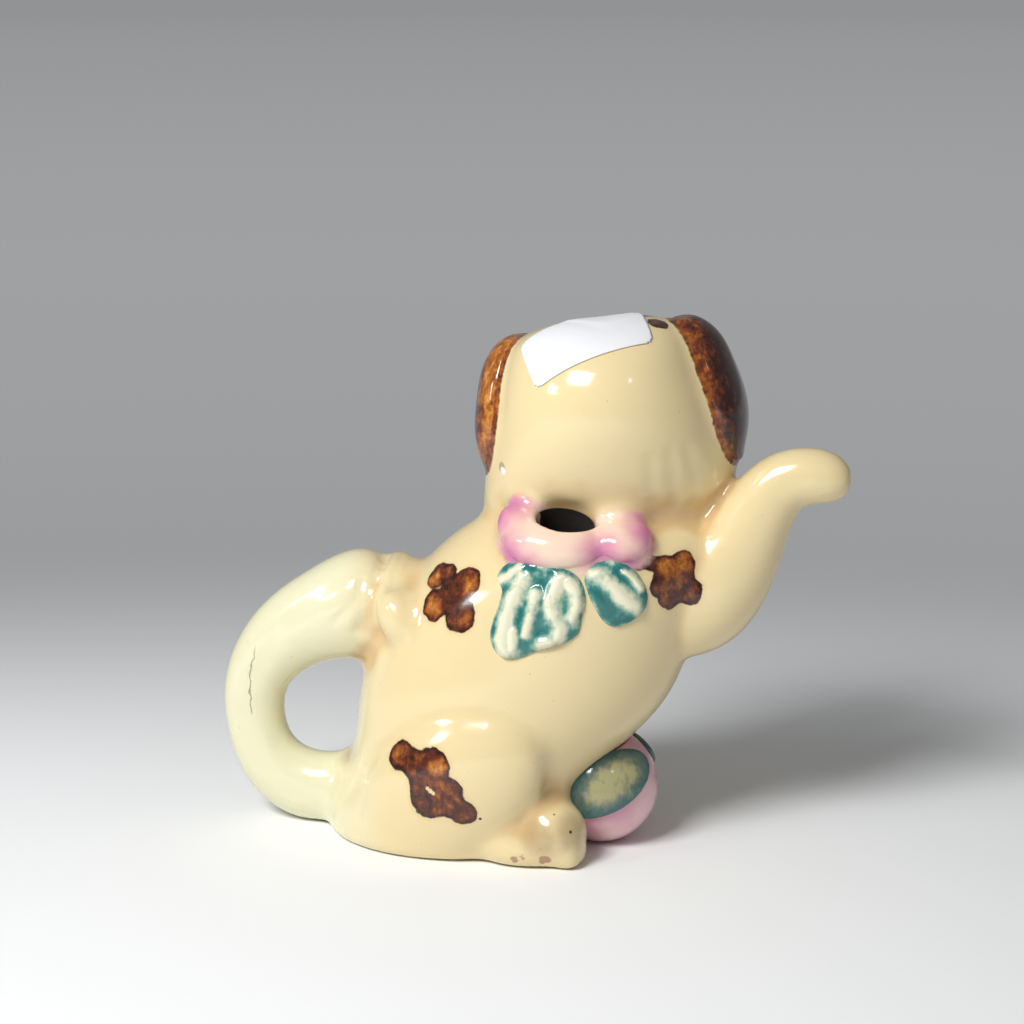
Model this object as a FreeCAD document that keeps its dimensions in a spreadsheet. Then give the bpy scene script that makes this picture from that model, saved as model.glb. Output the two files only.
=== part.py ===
"""A seated puppy planter in cream glazed earthenware, sitting up with one forepaw raised.

Frame: millimetres, +Z up, the origin at the middle of the torso's foot on the table.
The body lies along X with the raised paw towards +X and the tail handle towards -X.
The head is turned to look along +Y, so the flower and the mouth of the planter are on
the -Y side.  The pieces are those that the potter casts or presses one by one and joins
with slip: hollow torso and head, tail, forelegs, haunches, feet, ears, ball and flower.
"""

import FreeCAD, Part
import os

SIZES = {
    # walls of the hollow castings
    "wall": 3.6,
    "floor_wall": 4.4,
    # torso, from the table to the plane of the neck
    "torso_height": 87.0,
    "torso_length": 84.0,
    "torso_width": 60.0,
    "torso_lean": 41.0,
    # head, from the plane of the neck to the crown
    "head_height": 52.0,
    "head_length": 68.0,
    "head_depth": 53.0,
    "head_forward": 4.5,
    "head_tilt": 8.0,
    "neck_length": 40.0,
    "neck_width": 18.0,
    # mouth of the planter, in the middle of the flower
    "mouth_length": 15.0,
    "mouth_width": 11.2,
    "mouth_tilt": 26.0,
    "mouth_lip": 4.5,
    "mouth_reach": 24.0,
    # petals round the mouth
    "petal_length": 15.0,
    "petal_width": 14.0,
    "petal_height": 15.0,
    # leaves below the flower, and the grooves pressed into them
    "leaf_relief": 3.2,
    "leaf_groove_depth": 1.7,
    "large_leaf_width": 24.5,
    "large_leaf_turn": 6.0,
    "large_groove_width": 3.4,
    "small_leaf_width": 13.2,
    "small_leaf_turn": 42.0,
    "small_groove_width": 3.2,
    # ears
    "ear_thickness": 13.0,
    "ear_width": 28.0,
    # face
    "muzzle_length": 30.0,
    "muzzle_depth": 22.0,
    "muzzle_height": 23.0,
    "jowl_length": 17.0,
    "jowl_depth": 19.0,
    "jowl_height": 15.0,
    "nose_width": 12.5,
    "nose_height": 8.6,
    "nose_depth": 8.0,
    "eye_width": 10.0,
    "eye_height": 12.4,
    "eye_depth": 5.0,
    # raised foreleg
    "foreleg_reach": 53.0,
    "foreleg_rise": 43.0,
    "foreleg_thickness": 31.0,
    # tail handle, and the locks of hair where it joins the back
    "tail_reach": 29.2,
    "tail_thickness": 29.0,
    "lock_length": 22.0,
    "lock_depth": 26.0,
    "lock_width": 13.5,
    "upper_lock_turn": 18.0,
    "lower_lock_turn": 30.0,
    # haunches and hind feet
    "haunch_length": 59.0,
    "haunch_height": 39.0,
    "haunch_swell": 22.0,
    "haunch_turn": 42.0,
    "foot_length": 30.0,
    "foot_width": 18.0,
    "foot_height": 15.0,
    "paw_height": 18.0,
    "toe_diameter": 8.4,
    # standing foreleg beside the ball
    "standing_leg_thickness": 16.0,
    # ball, and the raised panel on each side of it
    "ball_diameter": 31.0,
    "ball_panel_length": 37.0,
    "ball_panel_width": 18.0,
    "ball_panel_relief": 0.9,
    "ball_panel_turn": 26.0,
    # how much is taken off the ball where it stands on the table
    "bedding": 0.6,
}

# Stations of the torso: height, lean, length and width, as shares of the torso's sizes.
TORSO_SHARES = [
    (0.000, 0.000, 0.785, 0.940),
    (0.035, 0.010, 0.820, 0.985),
    (0.207, 0.146, 0.815, 1.000),
    (0.391, 0.354, 0.940, 1.000),
    (0.575, 0.512, 1.000, 1.000),
    (0.736, 0.659, 0.980, 0.960),
    (0.874, 0.805, 0.905, 0.875),
    (0.954, 0.910, 0.825, 0.705),
    (1.000, 0.965, 0.710, 0.530),
]

# Stations of the head: height, sideways and forward places, length and depth.
HEAD_SHARES = [
    (-0.190, -0.130, 0.260, 0.880, 0.600),
    (0.000, -0.120, 0.300, 0.960, 0.720),
    (0.130, -0.090, 0.220, 0.985, 0.820),
    (0.250, -0.060, 0.140, 0.980, 0.910),
    (0.400, -0.030, 0.070, 0.920, 0.980),
    (0.560, 0.000, 0.020, 0.850, 1.000),
    (0.720, 0.000, 0.000, 0.775, 0.955),
    (0.860, 0.000, 0.000, 0.705, 0.830),
    (0.940, 0.000, 0.000, 0.630, 0.660),
    (0.980, 0.000, 0.000, 0.530, 0.490),
    (1.000, 0.000, 0.000, 0.360, 0.310),
]

# Stations of an ear: height and sideways place on the head, then the ear's own thickness and width.
EAR_SHARES = [
    (0.235, 0.945, 0.200, 0.300),
    (0.310, 0.897, 0.550, 0.700),
    (0.420, 0.888, 0.820, 0.920),
    (0.540, 0.868, 0.950, 1.000),
    (0.670, 0.822, 1.000, 0.960),
    (0.800, 0.765, 1.000, 0.830),
    (0.890, 0.705, 0.940, 0.670),
    (0.945, 0.655, 0.760, 0.500),
    (0.972, 0.640, 0.420, 0.300),
]
EAR_FORWARD_SHARE = 0.20

# Places of the face on the head, as shares of its half length, half depth and height.
MUZZLE_SHARES = (0.00, 0.88, 0.34)
JOWL_SHARES = (0.19, 0.98, 0.26)
NOSE_SHARES = (0.00, 1.24, 0.475)
EYE_SHARES = (0.36, 0.90, 0.62)

# Stations of the raised foreleg: reach, rise and thickness, then the turn of the section.
FORELEG_SHARES = [
    (0.000, 0.000, 0.700, 45),
    (0.180, 0.150, 0.930, 45),
    (0.380, 0.395, 0.900, 40),
    (0.500, 0.630, 0.715, 33),
    (0.600, 0.850, 0.590, 42),
    (0.715, 0.980, 0.510, 68),
    (0.845, 1.000, 0.475, 95),
    (0.947, 0.980, 0.360, 100),
    (1.000, 0.967, 0.130, 100),
]
FORELEG_ROOT_SHARES = (0.658, -0.05, 0.665)

# Stations of the tail: reach, height and thickness, then the turn of the section.
TAIL_SHARES = [
    (-0.200, 0.121, 0.700, -92),
    (0.200, 0.115, 0.690, -84),
    (0.520, 0.112, 0.675, -74),
    (0.866, 0.190, 0.607, -42),
    (1.000, 0.322, 0.572, -5),
    (0.986, 0.437, 0.600, 15),
    (0.849, 0.529, 0.676, 33),
    (0.610, 0.609, 0.779, 52),
    (0.267, 0.672, 0.910, 68),
    (0.000, 0.706, 1.000, 74),
    (-0.190, 0.728, 0.920, 76),
    (-0.290, 0.738, 0.720, 77),
    (-0.345, 0.742, 0.420, 77),
]
TAIL_ROOT_SHARE = 0.60
UPPER_LOCK_SHARES = (-0.958, 0.0, 0.750)
LOWER_LOCK_SHARES = (-0.851, -0.45, 0.70)
LOWER_LOCK_SIZE_SHARES = (0.90, 0.54, 0.87)

# Stations of the standing foreleg, paw first: height, sideways and forward places, and thickness.
STANDING_LEG_SHARES = [
    (0.00, 0.900, 0.58, 1.15),
    (0.05, 0.889, 0.58, 1.30),
    (0.10, 0.830, 0.58, 1.16),
    (0.16, 0.754, 0.58, 0.92),
    (0.32, 0.673, 0.54, 0.98),
    (0.44, 0.613, 0.48, 1.08),
]

# Haunch, hind foot, ball, neck and mouth: places on the torso.
HAUNCH_SHARES = (-0.048, 0.77, 0.218)
HAUNCH_SPLAY_SHARE = 0.25
FOOT_SHARES = (0.58, 0.77)
FOOT_SOLE_SHARE = 0.36
PAW_SHARES = (0.24, 0.46)
TOE_SHARES = (0.41, 0.25, 0.34)
TOE_WIDTH_SHARE = 0.75
OUTER_TOE_SHARE = 0.92
BALL_SHARES = (0.97, -0.05)
BALL_PANEL_SHARES = (0.15, 0.17)
BALL_PANEL_DEPTH_SHARE = 2
NECK_SHARES = (0.043, 0.115, 1.0)
NECK_REACH_SHARE = 3
MOUTH_SHARES = (-0.149, -0.617, 1.037)
MOUTH_AXIS_SHARES = (0.954, 0.300, 0.0)

# Petals: place from the mouth as shares of its length, then length, width and height.
PETAL_SHARES = [
    ("left", -0.740, 0.060, -0.115, 0.82, 0.80, 1.00),
    ("right", 1.020, -0.060, -0.190, 0.96, 0.90, 0.97),
    ("middle", -0.130, -0.230, -0.330, 1.72, 0.90, 0.97),
]

# Leaves: place on the torso and length as a share of its height.
LARGE_LEAF_SHARES = (-0.044, -0.90, 0.785, 0.287)
SMALL_LEAF_SHARES = (0.387, -0.80, 0.852, 0.241)

# Grooves of the leaves: place across and along as shares of the leaf's width, then length as one of its own.
LARGE_GROOVE_SHARES = [
    (-0.14, 0.00, 0.84),
    (0.13, -0.06, 0.80),
]
SMALL_GROOVE_SHARES = [
    (-0.30, -0.30, 0.71),
    (0.22, 0.22, 0.71),
]

# Axes of turns: about FORWARD a piece leans towards +X, about BACKWARD towards -X.
FORWARD = (0, 1, 0)
BACKWARD = (0, -1, 0)
UPWARD = (0, 0, 1)

DEPTH_SHARE = 0.86
TABLE_SHARE = 4
HALF = 0.5
QUARTER_TURN = 90
SIDES = ((-1, "left"), (1, "right"))
FLANKS = ((-1, "near"), (1, "far"))

doc = FreeCAD.newDocument("PuppyPlanter")
sheet = doc.addObject("Spreadsheet::Sheet", "Sizes")
for row, (alias, value) in enumerate(SIZES.items(), start=1):
    sheet.set(f"A{row}", alias)
    sheet.set(f"B{row}", str(value))
    sheet.setAlias(f"B{row}", alias)
doc.recompute()


def size(alias, share=1.0):
    """The expression for a share of a named size."""
    return f"Sizes.{alias} * {share}"


def place(thing, x, y, z, axis=FORWARD, turn=0):
    """Binds where a thing stands, and its turn about an axis: degrees, or a named size above zero."""
    named = isinstance(turn, str)
    spin = FreeCAD.Rotation(FreeCAD.Vector(*axis), 1 if named else turn)
    thing.Placement = FreeCAD.Placement(FreeCAD.Vector(), spin)
    if named:
        thing.setExpression("Placement.Rotation.Angle", turn)
    thing.setExpression("Placement.Base.x", x)
    thing.setExpression("Placement.Base.y", y)
    thing.setExpression("Placement.Base.z", z)
    return thing


def oval(name, longer, shorter, x, y, z, axis=FORWARD, turn=0):
    """An oval section, lying flat with its longer axis along X before it is turned, at most round."""
    section = doc.addObject("Part::Ellipse", name)
    section.setExpression("MajorRadius", f"({longer}) / 2")
    section.setExpression("MinorRadius", f"min({longer}; {shorter}) / 2")
    return place(section, x, y, z, axis, turn)


def loft(name, sections):
    """A smooth solid through its sections."""
    skin = doc.addObject("Part::Loft", name)
    skin.Sections = sections
    skin.Solid = True
    skin.Ruled = False
    return skin


def bore(name, section, forward, back):
    """A straight passage both ways from an oval section."""
    passage = doc.addObject("Part::Extrusion", name)
    passage.Base = section
    passage.DirMode = "Normal"
    passage.Solid = True
    passage.setExpression("LengthFwd", forward)
    passage.setExpression("LengthRev", back)
    return passage


def ellipsoid(name, length, width, height, x, y, z, axis=FORWARD, turn=0):
    """A round lump with its three full sizes along X, Y and Z before it is turned."""
    lump = doc.addObject("Part::Ellipsoid", name)
    lump.setExpression("Radius1", f"({height}) / 2")
    lump.setExpression("Radius2", f"({length}) / 2")
    lump.setExpression("Radius3", f"({width}) / 2")
    return place(lump, x, y, z, axis, turn)


def cut(name, base, *tools, refine=True):
    """The base less each of the tools in turn."""
    for number, tool in enumerate(tools, start=1):
        last = number == len(tools)
        less = doc.addObject("Part::Cut", name if last else f"{name}_less_{number}")
        less.Base = base
        less.Tool = tool
        less.Refine = refine
        base = less
    return base


def common(name, first, second):
    """What two forms share."""
    shared = doc.addObject("Part::MultiCommon", name)
    shared.Shapes = [first, second]
    return shared


def fuse(name, *shapes):
    """One solid of several."""
    whole = doc.addObject("Part::MultiFuse", name)
    whole.Shapes = list(shapes)
    return whole


def lean_at(height_share):
    """The torso's lean at a height, as a share of its whole lean."""
    for below, above in zip(TORSO_SHARES, TORSO_SHARES[1:]):
        if height_share <= above[0]:
            rise = (height_share - below[0]) / (above[0] - below[0])
            return below[1] + (above[1] - below[1]) * rise
    return TORSO_SHARES[-1][1]


def on_torso(x_share, y_share, z_share=0.0):
    """A place on the torso: shares of its half length from its leaning middle, half width and height."""
    return (
        f"{size('torso_lean', lean_at(z_share))} + {size('torso_length', HALF * x_share)}",
        size("torso_width", HALF * y_share),
        size("torso_height", z_share),
    )


def in_head(x_share, y_share, z_share):
    """A place in the head's own frame, as shares of its half length, half depth and height."""
    return (
        size("head_length", HALF * x_share),
        size("head_depth", HALF * y_share),
        size("head_height", z_share),
    )


def seat_head(piece):
    """Moves a piece from the head's own frame to the neck, turned by the head's tilt."""
    x = f"{size('torso_lean')} + {size('head_forward')}"
    return place(piece, x, "0", size("torso_height"), BACKWARD, "Sizes.head_tilt")


def torso_form(name, inset, floor, roof):
    """The torso's form with its sides, floor and roof moved in by the given walls."""
    sections = []
    for number, (high, lean, length, width) in enumerate(TORSO_SHARES):
        sections.append(
            oval(
                f"{name}_{number}",
                f"{size('torso_length', length)} - 2 * ({inset})",
                f"{size('torso_width', width)} - 2 * ({inset})",
                size("torso_lean", lean),
                "0",
                f"{floor} + ({size('torso_height')} - ({roof}) - ({floor})) * {high}",
            )
        )
    return loft(name, sections)


def head_form(name, inset, floor, stations):
    """The head's form with its sides, floor and crown moved in by the given walls."""
    sections = []
    for number, (high, side, front, length, depth) in enumerate(stations):
        sections.append(
            oval(
                f"{name}_{number}",
                f"{size('head_length', length)} - 2 * {inset}",
                f"{size('head_depth', depth)} - 2 * {inset}",
                size("head_length", HALF * side),
                size("head_depth", HALF * front),
                f"{floor} + ({size('head_height')} - {inset} - {floor}) * {high}",
            )
        )
    return loft(name, sections)


def ear_form(name, side):
    """A thick ear lying along the side of the head, from the crown down to the cheek."""
    sections = []
    for number, (high, out, thick, wide) in enumerate(EAR_SHARES):
        sections.append(
            oval(
                f"{name}_{number}",
                size("ear_width", wide),
                size("ear_thickness", thick),
                *in_head(side * out, EAR_FORWARD_SHARE, high),
                UPWARD,
                QUARTER_TURN,
            )
        )
    return loft(name, sections)


def raised_foreleg_form():
    """The foreleg from inside the chest up to the bent paw."""
    sections = []
    root_x, root_y, root_z = on_torso(*FORELEG_ROOT_SHARES)
    for number, (reach, rise, thick, turn) in enumerate(FORELEG_SHARES):
        sections.append(
            oval(
                f"foreleg_section_{number}",
                size("foreleg_thickness", thick),
                size("foreleg_thickness", thick * DEPTH_SHARE),
                f"{root_x} + {size('foreleg_reach', reach)}",
                root_y,
                f"{root_z} + {size('foreleg_rise', rise)}",
                FORWARD,
                turn,
            )
        )
    return loft("foreleg_form", sections)


def tail_form():
    """The bushy tail, from the rump out, up and back to the shoulder."""
    sections = []
    for number, (reach, high, thick, turn) in enumerate(TAIL_SHARES):
        sections.append(
            oval(
                f"tail_section_{number}",
                size("tail_thickness", thick),
                size("tail_thickness", thick * DEPTH_SHARE),
                f"-{size('torso_length', HALF * TAIL_ROOT_SHARE)} - {size('tail_reach', reach)}",
                "0",
                size("torso_height", high),
                FORWARD,
                turn,
            )
        )
    return loft("tail_form", sections)


def standing_leg_form():
    """The straight foreleg on the far side, from the table into the chest."""
    sections = []
    for number, (high, x, y, thick) in enumerate(STANDING_LEG_SHARES):
        sections.append(
            oval(
                f"standing_section_{number}",
                size("standing_leg_thickness", thick),
                size("standing_leg_thickness", thick * DEPTH_SHARE),
                *on_torso(x, y, high),
            )
        )
    return loft("standing_leg_form", sections)


def foot_form(name, side):
    """A hind foot: a long sole with a high rounded paw and three toes at its end."""
    x, y, _ = on_torso(FOOT_SHARES[0], side * FOOT_SHARES[1])
    sole = ellipsoid(
        f"{name}_sole",
        size("foot_length"),
        size("foot_width"),
        size("foot_height"),
        x,
        y,
        size("foot_height", FOOT_SOLE_SHARE),
    )
    paw = ellipsoid(
        f"{name}_paw",
        size("paw_height"),
        size("foot_width"),
        size("paw_height"),
        f"{x} + {size('foot_length', PAW_SHARES[0])}",
        y,
        size("paw_height", PAW_SHARES[1]),
    )
    toes = []
    for number in (-1, 0, 1):
        reach = TOE_SHARES[0] * (OUTER_TOE_SHARE if number else 1)
        toes.append(
            ellipsoid(
                f"{name}_toe_{number + 2}",
                size("toe_diameter"),
                size("toe_diameter", TOE_WIDTH_SHARE),
                size("toe_diameter"),
                f"{x} + {size('foot_length', reach)}",
                f"{y} + {size('foot_width', TOE_SHARES[1] * number)}",
                size("toe_diameter", TOE_SHARES[2]),
            )
        )
    return fuse(name, sole, paw, *toes)


def leaf(name, axis, place_shares, groove_shares, bed, groove_bed, *over):
    """A pressed leaf that follows the torso's side, with grooves between its ribs."""
    turn = f"Sizes.{name}_turn"
    x, y, z = on_torso(*place_shares[:3])
    long = place_shares[3]
    outline = ellipsoid(
        f"{name}_outline",
        size(f"{name}_width"),
        size("torso_width"),
        size("torso_height", long),
        x,
        y,
        z,
        axis,
        turn,
    )
    pad = cut(f"{name}_pad", common(f"{name}_raised", outline, bed), torso_outer, *over)
    grooves = []
    kind = name.split("_")[0]
    for number, (across, along, length) in enumerate(groove_shares, start=1):
        post = ellipsoid(
            f"{name}_post_{number}",
            size(f"{kind}_groove_width"),
            size("torso_width"),
            size("torso_height", long * length),
            f"{x} + {size(f'{name}_width', across)}",
            y,
            f"{z} + {size(f'{name}_width', along)}",
            axis,
            turn,
        )
        grooves.append(cut(f"{name}_groove_{number}", post, groove_bed))
    return cut(name, pad, *grooves)


table = doc.addObject("Part::Box", "table")
table.setExpression(
    "Length", f"{size('torso_length', TABLE_SHARE)} + {size('foreleg_reach', TABLE_SHARE)}"
)
table.setExpression("Width", size("torso_width", TABLE_SHARE))
table.setExpression("Height", size("torso_height"))
place(table, "-Length / 2", "-Width / 2", "-Height")

torso_outer = torso_form("torso_outer", "0", "0", "0")
torso_inner = torso_form("torso_inner", size("wall"), size("floor_wall"), size("wall"))
head_outer = head_form("head_outer", "0", "0", HEAD_SHARES)
head_inner = head_form("head_inner", size("wall"), size("wall"), HEAD_SHARES[1:])

neck_x, neck_y, neck_z = on_torso(*NECK_SHARES)
neck_section = oval(
    "neck_section", size("neck_length"), size("neck_width"), neck_x, neck_y, neck_z
)
neck = bore("neck", neck_section, size("wall", NECK_REACH_SHARE), size("wall", NECK_REACH_SHARE))

mouth_x, mouth_y, mouth_z = on_torso(*MOUTH_SHARES)
mouth_section = oval(
    "mouth_section",
    size("mouth_length"),
    size("mouth_width"),
    mouth_x,
    mouth_y,
    mouth_z,
    MOUTH_AXIS_SHARES,
    "Sizes.mouth_tilt",
)
mouth = bore("mouth", mouth_section, size("mouth_lip"), size("mouth_reach"))

torso_shell = cut("torso_shell", torso_outer, torso_inner, neck, mouth)

head_casting = seat_head(cut("head_casting", head_outer, head_inner))
head_shell = cut("head_shell", head_casting, torso_outer, neck, mouth)

# The face and the ears, in the head's own frame, the face on the side away from the flower.
jowls = []
eyes = []
ears = []
for side, name in SIDES:
    jowls.append(
        ellipsoid(
            f"{name}_jowl",
            size("jowl_length"),
            size("jowl_depth"),
            size("jowl_height"),
            *in_head(side * JOWL_SHARES[0], *JOWL_SHARES[1:]),
        )
    )
muzzle_form = ellipsoid(
    "muzzle_form",
    size("muzzle_length"),
    size("muzzle_depth"),
    size("muzzle_height"),
    *in_head(*MUZZLE_SHARES),
)
muzzle = seat_head(cut("muzzle", fuse("muzzle_lumps", muzzle_form, *jowls), head_outer))
nose_form = ellipsoid(
    "nose_form",
    size("nose_width"),
    size("nose_depth"),
    size("nose_height"),
    *in_head(*NOSE_SHARES),
)
nose = seat_head(cut("nose", nose_form, muzzle_form, *jowls, head_outer))
for side, name in SIDES:
    eye_form = ellipsoid(
        f"{name}_eye_form",
        size("eye_width"),
        size("eye_depth"),
        size("eye_height"),
        *in_head(side * EYE_SHARES[0], *EYE_SHARES[1:]),
    )
    eyes.append(seat_head(cut(f"{name}_eye", eye_form, muzzle_form, head_outer)))
    ears.append(seat_head(cut(f"{name}_ear", ear_form(f"{name}_ear_form", side), head_outer)))

# Tail handle and its locks of hair.
tail = tail_form()
tail_handle = cut("tail_handle", tail, torso_outer, table)
upper_lock = ellipsoid(
    "upper_lock",
    size("lock_width"),
    size("lock_depth"),
    size("lock_length"),
    *on_torso(*UPPER_LOCK_SHARES),
    BACKWARD,
    "Sizes.upper_lock_turn",
)
lower_lock = ellipsoid(
    "lower_lock",
    size("lock_width", LOWER_LOCK_SIZE_SHARES[0]),
    size("lock_depth", LOWER_LOCK_SIZE_SHARES[1]),
    size("lock_length", LOWER_LOCK_SIZE_SHARES[2]),
    *on_torso(*LOWER_LOCK_SHARES),
    BACKWARD,
    "Sizes.lower_lock_turn",
)
tail_tuft = cut("tail_tuft", fuse("locks", upper_lock, lower_lock), torso_outer, tail)

# Ball, haunches, hind feet and forelegs.
raised = raised_foreleg_form()
raised_foreleg = cut("raised_foreleg", raised, head_casting, torso_outer, refine=False)

ball_x, ball_y, _ = on_torso(*BALL_SHARES)
ball_z = f"{size('ball_diameter', HALF)} - Sizes.bedding"
ball_form = doc.addObject("Part::Sphere", "ball_form")
ball_form.setExpression("Radius", size("ball_diameter", HALF))
place(ball_form, ball_x, ball_y, ball_z)

standing_form = standing_leg_form()
haunches = []
foot_forms = []
feet = []
for side, name in FLANKS:
    haunch_form = ellipsoid(
        f"{name}_haunch_form",
        size("haunch_length"),
        size("haunch_swell"),
        size("haunch_height"),
        *on_torso(HAUNCH_SHARES[0], side * HAUNCH_SHARES[1], HAUNCH_SHARES[2]),
        (0, -1, side * HAUNCH_SPLAY_SHARE),
        "Sizes.haunch_turn",
    )
    foot = foot_form(f"{name}_foot_form", side)
    foot_forms.append(foot)
    haunches.append(cut(f"{name}_haunch", haunch_form, torso_outer, tail, table))
    feet.append(cut(f"{name}_hind_foot", foot, torso_outer, haunch_form, standing_form, table))

ball = cut("ball", ball_form, torso_outer, *foot_forms, table)

panels = []
for side, name in FLANKS:
    skin = doc.addObject("Part::Sphere", f"{name}_panel_skin")
    skin.setExpression("Radius", f"{size('ball_diameter', HALF)} + Sizes.ball_panel_relief")
    place(skin, ball_x, ball_y, ball_z)
    outline = ellipsoid(
        f"{name}_panel_outline",
        size("ball_panel_length"),
        size("ball_diameter", BALL_PANEL_DEPTH_SHARE),
        size("ball_panel_width"),
        f"{ball_x} + {size('ball_diameter', BALL_PANEL_SHARES[0])}",
        f"{ball_y} + {side} * {size('ball_diameter')}",
        f"{ball_z} + {size('ball_diameter', BALL_PANEL_SHARES[1])}",
        BACKWARD,
        "Sizes.ball_panel_turn",
    )
    raised_panel = common(f"{name}_panel_raised", skin, outline)
    panels.append(
        cut(f"{name}_ball_panel", raised_panel, ball_form, torso_outer, standing_form, *foot_forms)
    )

standing_foreleg = cut("standing_foreleg", standing_form, torso_outer, ball_form, table)

# Flower round the mouth, and its leaves.
petal_forms = []
petals = []
for name, x, y, z, long, wide, high in PETAL_SHARES:
    petal_form = ellipsoid(
        f"{name}_petal_form",
        size("petal_length", long),
        size("petal_width", wide),
        size("petal_height", high),
        f"{mouth_x} + {size('mouth_length', x)}",
        f"{mouth_y} + {size('mouth_length', y)}",
        f"{mouth_z} + {size('mouth_length', z)}",
    )
    petals.append(cut(f"{name}_petal", petal_form, torso_outer, head_casting, mouth, *petal_forms))
    petal_forms.append(petal_form)

leaf_bed = torso_form("leaf_bed", "-Sizes.leaf_relief", "0", "0")
groove_bed = torso_form("groove_bed", "Sizes.leaf_groove_depth - Sizes.leaf_relief", "0", "0")
large_leaf = leaf(
    "large_leaf", FORWARD, LARGE_LEAF_SHARES, LARGE_GROOVE_SHARES, leaf_bed, groove_bed, *petal_forms
)
small_leaf = leaf(
    "small_leaf", BACKWARD, SMALL_LEAF_SHARES, SMALL_GROOVE_SHARES, leaf_bed, groove_bed, *petal_forms
)

pieces = [
    torso_shell,
    head_shell,
    muzzle,
    nose,
    *eyes,
    *ears,
    tail_handle,
    tail_tuft,
    raised_foreleg,
    standing_foreleg,
    *haunches,
    *feet,
    ball,
    *panels,
    *petals,
    large_leaf,
    small_leaf,
]
doc.recompute()
os.makedirs("parts", exist_ok=True)
for thing in doc.Objects:
    if "Invalid" in thing.State or "Error" in thing.State:
        raise RuntimeError(f"{thing.Name} did not build: {thing.State}")
for piece in pieces:
    print(piece.Name, len(piece.Shape.Solids), round(piece.Shape.Volume), piece.Shape.isValid())
for piece in pieces:
    if piece.Shape.isNull() or not piece.Shape.isValid():
        raise RuntimeError(f"{piece.Name} has no sound shape")
    piece.Shape.exportStep(f"parts/{piece.Name}.step")
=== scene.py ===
"""Dresses the seated puppy planter: glazed body, ears, flower, leaves, ball, face and paper label."""

import math

import bmesh
import bpy
import numpy as np
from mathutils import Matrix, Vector
from mathutils.bvhtree import BVHTree


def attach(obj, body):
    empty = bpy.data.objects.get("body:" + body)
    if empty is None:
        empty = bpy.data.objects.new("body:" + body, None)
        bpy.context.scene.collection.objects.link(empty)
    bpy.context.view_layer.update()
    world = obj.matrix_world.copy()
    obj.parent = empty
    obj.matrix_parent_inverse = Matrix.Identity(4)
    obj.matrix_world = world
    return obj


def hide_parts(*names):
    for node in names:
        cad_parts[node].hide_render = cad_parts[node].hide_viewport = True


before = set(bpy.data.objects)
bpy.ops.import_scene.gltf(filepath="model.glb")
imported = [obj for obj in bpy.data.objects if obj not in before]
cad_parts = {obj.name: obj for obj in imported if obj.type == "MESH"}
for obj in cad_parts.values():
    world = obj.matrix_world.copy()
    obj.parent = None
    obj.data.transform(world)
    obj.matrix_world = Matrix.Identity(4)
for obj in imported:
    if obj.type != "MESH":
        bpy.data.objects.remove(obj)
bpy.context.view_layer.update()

bl_info = {
    "name": "Puppy Planter",
    "version": (1, 0, 0),
    "blender": (4, 5, 0),
    "location": "3D View > Sidebar > Puppy Planter",
    "description": "Glazed pieces, floor, lights and camera of a seated puppy planter",
    "category": "Object",
}

MM = 0.001
ROOT = "root"
WELD = 0.00001

# The CAD nodes of each kind of piece, and the paw that gets no slip in its corners.
CREAM_NODES = (
    "torso_shell", "head_shell", "muzzle", "near_haunch", "far_haunch", "near_hind_foot", "far_hind_foot",
    "raised_foreleg", "standing_foreleg", "tail_handle", "tail_tuft",
)
PAW_NODE = "raised_foreleg"
EAR_NODES = ("left_ear", "right_ear")
PETAL_NODES = ("left_petal", "right_petal", "middle_petal")
PANEL_NODES = ("near_ball_panel", "far_ball_panel")
FACE_NODES = ("left_eye", "right_eye", "nose")

# Brown spots as round lobes on the body: place and radius in millimetres.
BROWN_LOBES = (
    # left shoulder
    (-0.6, -15.0, 73.8, 3.7),
    (2.6, -16.8, 74.8, 3.0),
    (8.2, -21.6, 74.0, 4.5),
    (0.0, -20.0, 67.2, 4.3),
    (7.2, -24.6, 66.0, 4.6),
    (4.6, -21.6, 70.4, 4.8),
    # right shoulder
    (52.8, -21.0, 80.8, 1.8),
    (55.6, -19.6, 80.6, 2.2),
    (59.6, -18.4, 79.2, 3.5),
    (63.8, -15.4, 79.8, 3.6),
    (58.8, -19.2, 74.6, 3.6),
    (61.0, -17.8, 71.8, 3.8),
    (65.2, -14.2, 72.2, 3.6),
    (62.2, -16.8, 75.6, 5.2),
    # near haunch
    (-8.0, -28.6, 28.8, 4.1),
    (-3.4, -30.8, 27.4, 4.2),
    (1.2, -32.8, 27.2, 5.3),
    (-0.2, -33.4, 22.6, 4.9),
    (0.6, -33.7, 18.4, 5.0),
    (5.6, -34.3, 21.4, 4.3),
    (6.6, -34.4, 17.8, 4.0),
    (10.0, -34.2, 15.9, 3.3),
    # crown
    (55.0, -4.4, 140.0, 2.8),
    (48.0, 4.0, 140.4, 5.4),
    (40.0, 9.0, 139.6, 5.0),
    # far haunch and far shoulder
    (-2.0, 32.0, 27.0, 6.0),
    (5.0, 33.0, 21.0, 5.4),
    (30.0, 26.0, 69.0, 5.6),
    (36.0, 25.6, 73.0, 4.6),
)

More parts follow.
